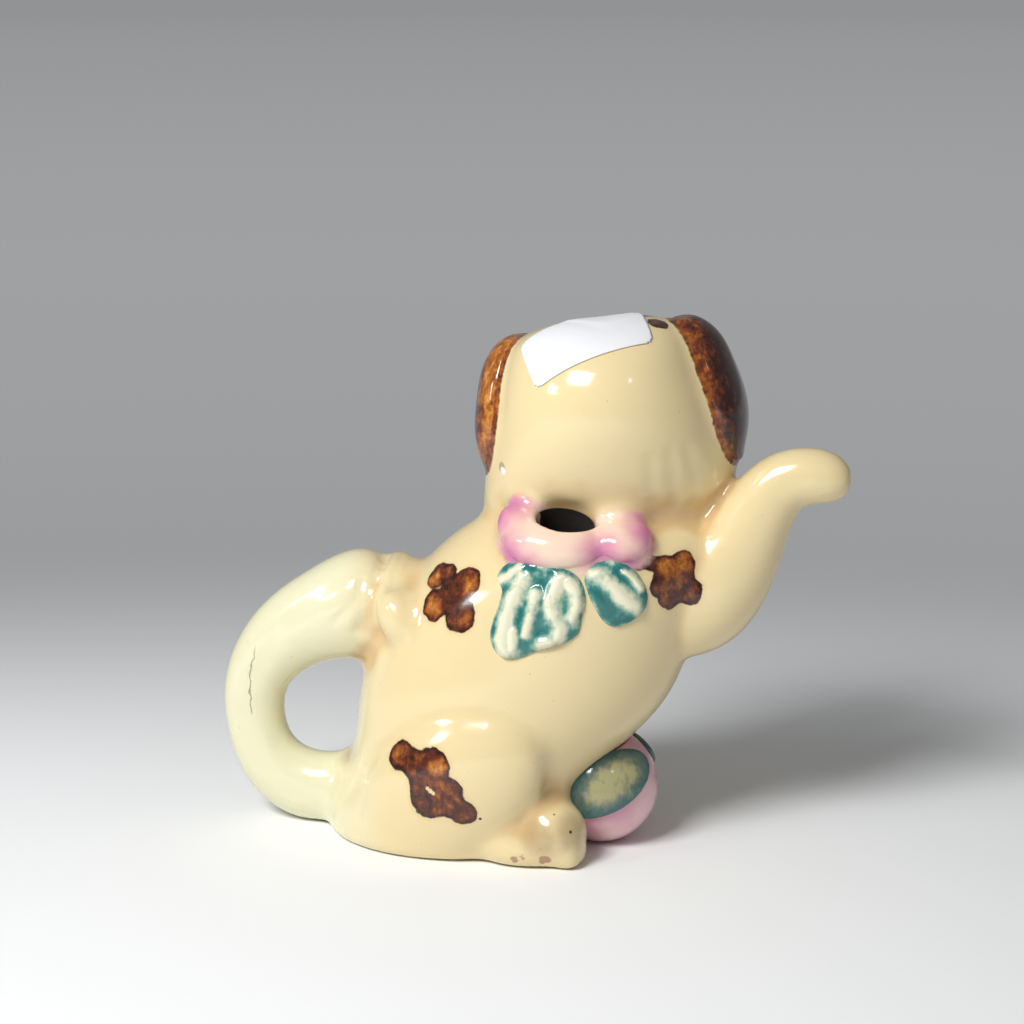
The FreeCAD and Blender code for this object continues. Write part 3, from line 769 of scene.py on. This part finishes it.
def panel_colour(shader, point, colours):
    """Teal rim and olive middle of a ball panel."""
    cloud = shader.sway(point, scale=0.35) * 0.8
    fine = shader.streaks(point, scale=1.1, drawn=0.4) * 0.6
    return shader.ramp(
        shader.attribute("inset") + cloud + fine,
        (0.20, colours.slate),
        (0.60, colours.moss),
        (1.00, colours.olive),
    )


def clouded(shader, point, scale, first, second):
    """Two colours clouded together."""
    cloud = shader.rise(shader.noise(point, scale), low=0.35, high=0.65)
    return shader.mix(cloud, first, second)


def ball_colour(shader, point, colours):
    """Two pinks in large clouds."""
    return clouded(shader, point, 0.08, colours.ball, colours.rose)


def face_colour(shader, point, colours):
    """Black glaze with a little brown in it."""
    return clouded(shader, point, 0.4, colours.black, colours.brown)


def mesh_of(name, bm):
    """A mesh from a bmesh, which is freed."""
    mesh = bpy.data.meshes.new(name)
    bm.to_mesh(mesh)
    bm.free()
    return mesh


def bmesh_of(mesh):
    """A bmesh from a mesh, which is removed."""
    bm = bmesh.new()
    bm.from_mesh(mesh)
    bpy.data.meshes.remove(mesh)
    return bm


def merged_copy(nodes):
    """A bmesh of CAD nodes with their doubles merged."""
    bm = bmesh.new()
    for node in nodes:
        bm.from_mesh(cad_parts[node].data)
    bmesh.ops.remove_doubles(bm, verts=bm.verts[:], dist=WELD)
    return bm


def petal_copy(name):
    """A mesh of the petals, pressed down to the plane of the mouth."""
    bm = merged_copy(PETAL_NODES)
    axis = Vector(MOUTH_AXIS)
    middle = Vector(MOUTH) * MM
    softness = PETAL_SOFTNESS * MM
    for vert in bm.verts:
        height = (vert.co - middle).dot(axis) / softness
        vert.co -= axis * math.log1p(math.exp(height)) * softness * (1 - PETAL_SHARE)
    return mesh_of(name, bm)


def finished(name, bm, steps):
    """A piece at the origin from a bmesh and the modifiers that finish it."""
    mesh = mesh_of(name, bm)
    piece = bpy.data.objects.new(name, mesh)
    bpy.context.scene.collection.objects.link(piece)
    for kind, settings in steps:
        modifier = piece.modifiers.new(kind.title(), kind)
        for key, value in settings.items():
            setattr(modifier, key, value)
    graph = bpy.context.evaluated_depsgraph_get()
    shape = bpy.data.meshes.new_from_object(piece.evaluated_get(graph))
    piece.modifiers.clear()
    piece.data = shape
    shape.name = name
    bpy.data.meshes.remove(mesh)
    shape.shade_smooth()
    return piece


def voxels(size):
    """A Remesh step."""
    return ("REMESH", {"mode": "VOXEL", "voxel_size": size, "use_smooth_shade": True})


def swell(strength):
    """A Displace step along the normals."""
    return ("DISPLACE", {"strength": strength, "mid_level": 0.0})


def sponge(times):
    """A Smooth step, which goes half of the way each time."""
    return ("SMOOTH", {"factor": 0.5, "iterations": times})


def coated(node, kind, shape):
    """A piece from one CAD node, with its coats of glaze, sponged."""
    grain, coats, sponging = FINISHES[kind]
    steps = [voxels(grain * shape.relief_grain), swell(coats * shape.glaze), sponge(sponging)]
    return finished(f"glazed_{node}", merged_copy([node]), steps)


def points_of(mesh):
    """The points of a mesh as an array."""
    values = np.zeros(len(mesh.vertices) * 3, np.float32)
    mesh.vertices.foreach_get("co", values)
    return values.reshape(-1, 3).astype(float)


def normals_of(mesh):
    """The normals at the points of a mesh."""
    values = np.zeros(len(mesh.vertices) * 3, np.float32)
    mesh.vertex_normals.foreach_get("vector", values)
    return values.reshape(-1, 3).astype(float)


def move_points(mesh, points):
    """Puts the points of a mesh where an array says."""
    mesh.vertices.foreach_set("co", points.astype(np.float32).ravel())
    mesh.update()


def neighbour_mean(mesh, values, times):
    """Values averaged with their neighbours a number of times."""
    edges = np.zeros(len(mesh.edges) * 2, np.int32)
    mesh.edges.foreach_get("vertices", edges)
    first, second = edges.reshape(-1, 2).T
    count = np.bincount(first, minlength=len(values)) + np.bincount(second, minlength=len(values))
    count = np.maximum(count, 1)
    for _ in range(times):
        total = np.zeros_like(values)
        if values.ndim == 1:
            total += np.bincount(first, values[second], len(values))
            total += np.bincount(second, values[first], len(values))
            values = 0.5 * values + 0.5 * total / count
        else:
            for axis in range(values.shape[1]):
                total[:, axis] += np.bincount(first, values[second, axis], len(values))
                total[:, axis] += np.bincount(second, values[first, axis], len(values))
            values = total / count[:, None]
    return values


def keep_attribute(mesh, name, values):
    """Keeps one value for each point of a mesh."""
    attribute = mesh.attributes.new(name, "FLOAT", "POINT")
    attribute.data.foreach_set("value", values.astype(np.float32))


def tree_of(nodes):
    """A search tree over CAD nodes."""
    bm = merged_copy(nodes)
    tree = BVHTree.FromBMesh(bm)
    bm.free()
    return tree


def surface_tree(mesh, unit=1.0):
    """A search tree over a mesh, whose points are divided by a unit."""
    points = [Vector(point) for point in points_of(mesh) / unit]
    return BVHTree.FromPolygons(points, [tuple(face.vertices) for face in mesh.polygons])


def gap_to(points, tree, reach):
    """How far each point is from the surface in a tree, in millimetres, up to a reach."""
    gaps = np.full(len(points), reach)
    for number, point in enumerate(points):
        found = tree.find_nearest(Vector(point), reach * MM)
        if found[0] is not None:
            gaps[number] = found[3] / MM
    return gaps


def rounded(outline, steps=8):
    """A closed smooth line through the points of an outline."""
    knots = np.array(outline)
    line = []
    for number in range(len(knots)):
        a, b, c, d = (knots[(number + offset) % len(knots)] for offset in (-1, 0, 1, 2))
        square = 2 * a - 5 * b + 4 * c - d
        cube = 3 * b - a - 3 * c + d
        for step in range(steps):
            t = step / steps
            line.append(0.5 * (2 * b + (c - a) * t + square * t**2 + cube * t**3))
    return np.array(line)


def segment_gap(points, start, end):
    """How far each point is from the straight line between two others."""
    along = end - start
    share = np.clip((points - start) @ along / (along @ along), 0, 1)
    return np.linalg.norm(points - start - share[:, None] * along, axis=1)


def signed_gap(flat, edge):
    """How far inside a closed line each flat point is, below zero outside it."""
    nearest = np.full(len(flat), np.inf)
    inside = np.zeros(len(flat), bool)
    for start, end in zip(edge, np.roll(edge, -1, axis=0)):
        nearest = np.minimum(nearest, segment_gap(flat, start, end))
        crosses = (start[1] > flat[:, 1]) != (end[1] > flat[:, 1])
        if start[1] != end[1]:
            across, up = end - start
            line = across * (flat[:, 1] - start[1]) / up + start[0]
            inside ^= crosses & (flat[:, 0] < line)
    return np.where(inside, nearest, -nearest)


def body_mesh():
    """The mesh of the glazed body."""
    return bpy.data.objects["glazed_body"].data


def stroke_depth(points, stroke, width):
    """How strongly a stroke through its points works on each point of a mesh, from 0 to 1."""
    path = np.array(stroke)
    nearest = np.full(len(points), np.inf)
    for start, end in zip(path[:-1], path[1:]):
        nearest = np.minimum(nearest, segment_gap(points, start, end))
    return np.exp(-((nearest / width) ** 2))


def dress(piece, slot, material, *nodes):
    """Gives a piece its material and its body, and hides the CAD nodes that it stands for; its slot is not
    used.
    """
    piece.data.materials.clear()
    piece.data.materials.append(material)
    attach(piece, ROOT)
    if nodes:
        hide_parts(*nodes)


class PLANTER_OT_body(bpy.types.Operator):
    """Casts the body as one skin whose joints are filled with slip, and glazes it"""

    bl_idname = "planter.body"
    bl_label = "Glazed body"

    def execute(self, context):
        petals = petal_copy("petal_bed")
        piece = self.cast(context.scene.planter_shape, petals)
        self.work(piece.data)
        self.measure(piece.data, petals)
        bpy.data.meshes.remove(petals)
        material = glazed("Cream glaze", body_colour, context.scene.planter_colours, roughness=0.10)
        dress(piece, "cream_glaze", material, *CREAM_NODES)
        return {"FINISHED"}

    def cast(self, shape, petals):
        """The skin over the joined pieces, to which the paw comes after the slip."""
        bm = merged_copy([node for node in CREAM_NODES + EAR_NODES if node != PAW_NODE])
        bm.from_mesh(petals)
        steps = [voxels(shape.grain), swell(shape.slip), voxels(shape.grain), swell(-shape.slip)]
        joined = finished("cast", bm, steps)
        bm = merged_copy([PAW_NODE])
        bm.from_mesh(joined.data)
        bpy.data.objects.remove(joined)
        return finished("glazed_body", bm, [voxels(shape.grain), sponge(shape.sponging)])

    def work(self, mesh):
        """Presses the strokes in, swells the crown and keeps the skin above the table."""
        points = points_of(mesh) / MM
        normals = normals_of(mesh)
        push = np.zeros(len(points))
        for stroke, width, depth in STROKES:
            push += depth * stroke_depth(points, stroke, width)
        upward = np.clip(normals[:, 2] * 2.0, 0.0, 1.0)
        for stroke, width, height in CROWN_SWELLS:
            push -= height * upward * stroke_depth(points, stroke, width)
        points -= normals * push[:, None]
        points[:, 2] = np.maximum(points[:, 2], 0.0)
        move_points(mesh, points * MM)

    def measure(self, mesh, petals):
        """Keeps on the skin where glaze pools, how near its neighbours are and what is inside, which is
        painted dark as shade.
        """
        points = points_of(mesh) / MM
        normals = normals_of(mesh)
        hollow = np.einsum("ij,ij->i", neighbour_mean(mesh, points, 1) - points, normals)
        pool = neighbour_mean(mesh, np.clip(hollow * POOL_GAIN, -1, 1), POOL_SPREAD)
        keep_attribute(mesh, "pool", pool)
        for name, tree in (
            ("near_ear", tree_of(EAR_NODES)),
            ("near_petal", surface_tree(petals)),
            ("near_ball", tree_of(["ball"])),
        ):
            keep_attribute(mesh, name, gap_to(points * MM, tree, SKIN_REACH))
        hidden = neighbour_mean(mesh, self.inside(mesh, points, normals), 2)
        keep_attribute(mesh, "inside", np.maximum(hidden, self.throat(points)))

    def throat(self, points):
        """Is 1 on the wall of the mouth below its glazed rim, which is painted dark as shade."""
        axis = np.array(MOUTH_AXIS)
        side = np.array(MOUTH_SIDE)
        offset = points - np.array(MOUTH)
        depth = -offset @ axis
        back = offset @ side
        along = offset @ np.cross(side, axis)
        ring = np.hypot(along / MOUTH_HALF[0], back / MOUTH_HALF[1])
        bare = np.clip((THROAT_RING - ring) / THROAT_FADE, 0.0, 1.0)
        return bare * np.clip(depth / THROAT_DEPTH, 0.0, 1.0)

    def inside(self, mesh, points, normals):
        """Is 1 at points of the hollow, from which no ray finds the open air."""
        tree = surface_tree(mesh, MM)
        rays = []
        for number in range(AIR_RAYS):
            rise = 1 - (2 * number + 1) / AIR_RAYS
            turn = number * AIR_TURN
            flat = math.sqrt(1 - rise * rise)
            rays.append(Vector((flat * math.cos(turn), flat * math.sin(turn), rise)))
        found = np.zeros(len(points))
        for number, (point, normal) in enumerate(zip(points, normals)):
            out = Vector(normal)
            start = Vector(point) + out * AIR_LIFT
            if not any(ray.dot(out) > 0 and tree.ray_cast(start, ray)[0] is None for ray in rays):
                found[number] = 1.0
        return found


class PLANTER_OT_ears(bpy.types.Operator):
    """Makes the two brown ears"""

    bl_idname = "planter.ears"
    bl_label = "Ears"

    def execute(self, context):
        material = glazed("Brown glaze", ear_colour, context.scene.planter_colours)
        head = tree_of(["head_shell"])
        for node in EAR_NODES:
            piece = coated(node, "ear", context.scene.planter_shape)
            keep_attribute(piece.data, "near_head", gap_to(points_of(piece.data), head, EAR_REACH))
            dress(piece, "brown_glaze", material, node)
        return {"FINISHED"}


class PLANTER_OT_flower(bpy.types.Operator):
    """Makes the flower round the mouth from its three petals, with soft creases between them"""

    bl_idname = "planter.flower"
    bl_label = "Flower"

    def execute(self, context):
        shape = context.scene.planter_shape
        grain = shape.relief_grain
        fill = CREASE_SHARE * shape.slip
        steps = [
            voxels(grain),
            swell(fill),
            voxels(grain),
            swell(FLOWER_COATS * shape.glaze - fill),
            voxels(grain),
            sponge(FLOWER_SPONGING),
        ]
        piece = finished("glazed_flower", bmesh_of(petal_copy("petals")), steps)
        material = glazed("Pink glaze", petal_colour, context.scene.planter_colours)
        dress(piece, "pink_glaze", material, *PETAL_NODES)
        return {"FINISHED"}


class PLANTER_OT_leaves(bpy.types.Operator):
    """Presses the two leaves on the body below the flower, with their wavy ribs"""

    bl_idname = "planter.leaves"
    bl_label = "Leaves"

    def execute(self, context):
        shape = context.scene.planter_shape
        material = glazed("Teal glaze", leaf_colour, context.scene.planter_colours)
        tree = surface_tree(body_mesh())
        for node, outline, ribs in (
            ("large_leaf", LARGE_LEAF, LARGE_RIBS),
            ("small_leaf", SMALL_LEAF, SMALL_RIBS),
        ):
            edge = rounded(outline)
            mesh = self.sheet(f"glazed_{node}", edge, shape)
            self.press(mesh, edge, ribs, tree, shape)
            bm = bmesh_of(mesh)
            bmesh.ops.recalc_face_normals(bm, faces=bm.faces[:])
            if sum(face.normal.y for face in bm.faces) > 0:
                bmesh.ops.reverse_faces(bm, faces=bm.faces[:])
            bmesh.ops.solidify(bm, geom=bm.faces[:], thickness=SHEET_THICKNESS * shape.leaf_relief)
            dress(finished(f"glazed_{node}", bm, []), "teal_glaze", material, node)
        return {"FINISHED"}

    def sheet(self, name, edge, shape):
        """A flat upright sheet that reaches a little past a leaf's edge."""
        low = edge.min(0) - shape.leaf_margin / MM
        high = edge.max(0) + shape.leaf_margin / MM
        across, up = (high - low) * MM / (SHEET_GRAIN * shape.relief_grain)
        bm = bmesh.new()
        bmesh.ops.create_grid(bm, x_segments=int(across), y_segments=int(up), size=0.5)
        flat = low + (np.array([vert.co[:2] for vert in bm.verts]) + 0.5) * (high - low)
        past = -SHEET_CUT * shape.leaf_margin / MM
        outside = [vert for vert, gap in zip(bm.verts, signed_gap(flat, edge)) if gap < past]
        for vert, (x, z) in zip(bm.verts, flat):
            vert.co = (x * MM, 0.0, z * MM)
        bmesh.ops.delete(bm, geom=outside, context="VERTS")
        return mesh_of(name, bm)

    def press(self, mesh, edge, ribs, tree, shape):
        """Lays a sheet on the body and raises its rounded edge and its ribs."""
        points = points_of(mesh)
        flat = points[:, [0, 2]] / MM
        inset = signed_gap(flat, edge)
        rib = np.zeros(len(points))
        glow = EDGE_GLOW * np.exp(-((inset / EDGE_WIDTH) ** 2))
        for width, line in ribs:
            rib = np.maximum(rib, stroke_depth(flat, line, RIB_REACH * width))
            glow = np.maximum(glow, stroke_depth(flat, line, RIB_GLOW * width))
        inward = np.clip(inset / (shape.leaf_edge / MM), 0.0, 1.0)
        dome = np.sqrt(1.0 - (1.0 - inward) ** 2)
        height = dome * (shape.leaf_relief + shape.rib_relief * rib)
        height += np.clip(inset, -1.0, 0.0) * shape.leaf_margin
        bed = np.zeros_like(points)
        out = np.zeros_like(points)
        for number, (x, _, z) in enumerate(points):
            hit, normal, _, _ = tree.ray_cast(Vector((x, RAY_FRONT, z)), Vector((0, 1, 0)))
            if hit is None:
                raise RuntimeError(f"{mesh.name} misses the body at {x}, {z}")
            bed[number] = hit
            out[number] = normal
        bed = neighbour_mean(mesh, bed, BED_SMOOTHING)
        out = neighbour_mean(mesh, out, LEAN_SMOOTHING)
        out /= np.linalg.norm(out, axis=1)[:, None]
        move_points(mesh, bed + out * height[:, None])
        keep_attribute(mesh, "rib", glow)


class PLANTER_OT_ball(bpy.types.Operator):
    """Makes the ball and its raised panels"""

    bl_idname = "planter.ball"
    bl_label = "Ball"

    def execute(self, context):
        shape = context.scene.planter_shape
        colours = context.scene.planter_colours
        pink = glazed("Ball glaze", ball_colour, colours)
        dress(coated("ball", "ball", shape), "pink_glaze", pink, "ball")
        teal = glazed("Panel glaze", panel_colour, colours)
        for node in PANEL_NODES:
            piece = coated(node, "panel", shape)
            points = points_of(piece.data) / MM
            _, _, axes = np.linalg.svd(points - points.mean(0), full_matrices=False)
            flat = (points - points.mean(0)) @ axes[:2].T
            half = np.abs(flat).max(0)
            inset = (1.0 - np.linalg.norm(flat / half, axis=1)) * half[1] / PANEL_RIM
            keep_attribute(piece.data, "inset", np.clip(inset, 0.0, 1.0))
            dress(piece, "teal_glaze", teal, node)
        return {"FINISHED"}


class PLANTER_OT_face(bpy.types.Operator):
    """Makes the eyes and the nose"""

    bl_idname = "planter.face"
    bl_label = "Face"

    def execute(self, context):
        black = glazed("Black glaze", face_colour, context.scene.planter_colours, roughness=0.05)
        for node in FACE_NODES:
            dress(coated(node, "face", context.scene.planter_shape), "black_glaze", black, node)
        return {"FINISHED"}


class PLANTER_OT_label(bpy.types.Operator):
    """Lays a blank paper label over the crown"""

    bl_idname = "planter.label"
    bl_label = "Paper label"

    def execute(self, context):
        shape = context.scene.planter_shape
        mesh = self.sheet()
        tree = surface_tree(body_mesh())
        points = points_of(mesh)
        for _ in range(LABEL_PASSES):
            for number, point in enumerate(points):
                near, normal, _, _ = tree.find_nearest(Vector(point))
                gap = (Vector(point) - near).dot(normal)
                wanted = min(max(gap, shape.label_lift), shape.label_gap)
                points[number] += np.array(normal) * (wanted - gap)
        move_points(mesh, points)
        bm = bmesh_of(mesh)
        if sum(face.normal.z for face in bm.faces) < 0:
            bmesh.ops.reverse_faces(bm, faces=bm.faces[:])
        bmesh.ops.solidify(bm, geom=bm.faces[:], thickness=-shape.paper)
        material = self.material(context.scene.planter_colours)
        dress(finished("paper_label", bm, []), "cream_glaze", material)
        return {"FINISHED"}

    def sheet(self):
        """A sheet with rounded corners, bent through the rows of the label's points."""
        bm = bmesh.new()
        bmesh.ops.create_grid(bm, x_segments=LABEL_CUTS[0], y_segments=LABEL_CUTS[1], size=0.5)
        rows = np.array(LABEL_ROWS)
        size = np.array(LABEL_SIZE)
        outside = []
        for vert in bm.verts:
            share = np.array(vert.co[:2]) + 0.5
            away = np.maximum(np.abs(share - 0.5) * size - size / 2 + LABEL_ROUNDING, 0.0)
            if np.linalg.norm(away) > LABEL_ROUNDING:
                outside.append(vert)
            across, back = (((1 - t) * (1 - 2 * t), 4 * t * (1 - t), t * (2 * t - 1)) for t in share)
            vert.co = np.einsum("i,j,ijk->k", np.array(back), np.array(across), rows) * MM
        bmesh.ops.delete(bm, geom=outside, context="VERTS")
        return mesh_of("paper_label", bm)

    def material(self, colours):
        """White paper with a faint tooth."""
        material, shader = new_material("Paper")
        tooth = shader.noise(shader.place(), scale=3.0, detail=4.0, roughness=0.7)
        shader.surface(
            {"Height": tooth, "Strength": TOOTH_STRENGTH, "Distance": TOOTH_HEIGHT * MM},
            {
                "Base Color": shader.mix(tooth * 0.5, colours.paper, colours.fibre),
                "Roughness": PAPER_ROUGHNESS,
            },
        )
        return material


class PLANTER_OT_stage(bpy.types.Operator):
    """Sets up the floor, the lamps, the surroundings and the camera"""

    bl_idname = "planter.stage"
    bl_label = "Stage"

    def execute(self, context):
        scene = context.scene
        self.floor(scene.planter_colours)
        for name, place, width, height, share in LAMPS:
            self.lamp(scene, name, place, width, height, share * scene.planter_stage.key_power)
        self.surroundings(scene)
        self.camera(scene)
        scene.view_settings.view_transform = "Standard"
        return {"FINISHED"}

    def floor(self, colours):
        """A wide floor, white round the planter, that fades to a grey backdrop behind it."""
        bm = bmesh.new()
        bmesh.ops.create_grid(bm, x_segments=2, y_segments=2, size=FLOOR_HALF)
        floor = finished("floor", bm, [])
        material, shader = new_material("Floor")
        away = shader.distance(shader.place(), FLOOR_NEAR)
        white = shader.node("ShaderNodeBsdfDiffuse", {}, {"Color": tint(colours.floor)})
        grey = shader.ramp(away / BACKDROP_REACH, *BACKDROP)
        backdrop = shader.node("ShaderNodeEmission", {}, {"Color": grey, "Strength": 1.0})
        fade = shader.rise(away, low=FADE_START, high=FADE_END)
        surface = shader.node("ShaderNodeMixShader", {}, {0: fade, 1: white, 2: backdrop})
        shader.node("ShaderNodeOutputMaterial", {}, {"Surface": surface})
        floor.data.materials.append(material)

    def lamp(self, scene, name, place, width, height, power):
        """A rectangular lamp that faces the planter."""
        light = bpy.data.lights.new(name, "AREA")
        light.shape = "RECTANGLE"
        light.size = width
        light.size_y = height
        light.energy = power
        lamp = bpy.data.objects.new(name, light)
        lamp.location = place
        lamp.rotation_euler = (Vector(LAMP_AIM) - Vector(place)).to_track_quat("-Z", "Y").to_euler()
        scene.collection.objects.link(lamp)

    def surroundings(self, scene):
        """Soft white light from all round, and a grey backdrop where the camera looks."""
        world = bpy.data.worlds.new("Surroundings")
        world.use_nodes = True
        scene.world = world
        shader = Shader(world.node_tree)
        seen = shader.node("ShaderNodeLightPath", {}, {}, "Is Camera Ray")
        light, backdrop = (
            shader.node("ShaderNodeBackground", {}, {"Color": tint(colour), "Strength": strength})
            for colour, strength in (((1.0, 1.0, 1.0), scene.planter_stage.sky), (HORIZON, 1.0))
        )
        both = shader.node("ShaderNodeMixShader", {}, {0: seen, 1: light, 2: backdrop})
        shader.node("ShaderNodeOutputWorld", {}, {"Surface": both})

    def camera(self, scene):
        """The camera at its angle, aimed at the middle of the planter."""
        stage = scene.planter_stage
        lens = bpy.data.cameras.new("Camera")
        lens.sensor_width = SENSOR
        lens.lens = stage.lens
        camera = bpy.data.objects.new("Camera", lens)
        flat = math.cos(stage.elevation)
        away = Vector(
            (math.sin(stage.azimuth) * flat, -math.cos(stage.azimuth) * flat, math.sin(stage.elevation))
        )
        camera.location = Vector(CAMERA_AIM) + away * stage.distance
        camera.rotation_euler = (-away).to_track_quat("-Z", "Y").to_euler()
        scene.collection.objects.link(camera)
        scene.camera = camera


class PLANTER_PT_panel(bpy.types.Panel):
    """Lists the planter's settings and pieces"""

    bl_idname = "PLANTER_PT_panel"
    bl_label = "Puppy Planter"
    bl_space_type = "VIEW_3D"
    bl_region_type = "UI"
    bl_category = "Puppy Planter"

    def draw(self, context):
        layout = self.layout
        for settings in (
            context.scene.planter_shape,
            context.scene.planter_colours,
            context.scene.planter_stage,
        ):
            for name in settings.bl_rna.properties.keys():
                if name not in ("rna_type", "name"):
                    layout.prop(settings, name)
        for operator in OPERATORS:
            layout.operator(operator.bl_idname)


OPERATORS = (
    PLANTER_OT_body, PLANTER_OT_ears, PLANTER_OT_flower, PLANTER_OT_leaves,
    PLANTER_OT_ball, PLANTER_OT_face, PLANTER_OT_label, PLANTER_OT_stage,
)
CLASSES = (ShapeSettings, ColourSettings, StageSettings, *OPERATORS, PLANTER_PT_panel)


def register():
    """Adds the classes and the scene's settings."""
    for each in CLASSES:
        bpy.utils.register_class(each)
    bpy.types.Scene.planter_shape = bpy.props.PointerProperty(type=ShapeSettings)
    bpy.types.Scene.planter_colours = bpy.props.PointerProperty(type=ColourSettings)
    bpy.types.Scene.planter_stage = bpy.props.PointerProperty(type=StageSettings)


def unregister():
    """Takes the classes and the scene's settings away again."""
    del bpy.types.Scene.planter_stage
    del bpy.types.Scene.planter_colours
    del bpy.types.Scene.planter_shape
    for each in reversed(CLASSES):
        bpy.utils.unregister_class(each)


def main():
    """Makes every piece and the stage."""
    register()
    bpy.ops.planter.body()
    bpy.ops.planter.ears()
    bpy.ops.planter.flower()
    bpy.ops.planter.leaves()
    bpy.ops.planter.ball()
    bpy.ops.planter.face()
    bpy.ops.planter.label()
    bpy.ops.planter.stage()


if __name__ == "__main__":
    main()
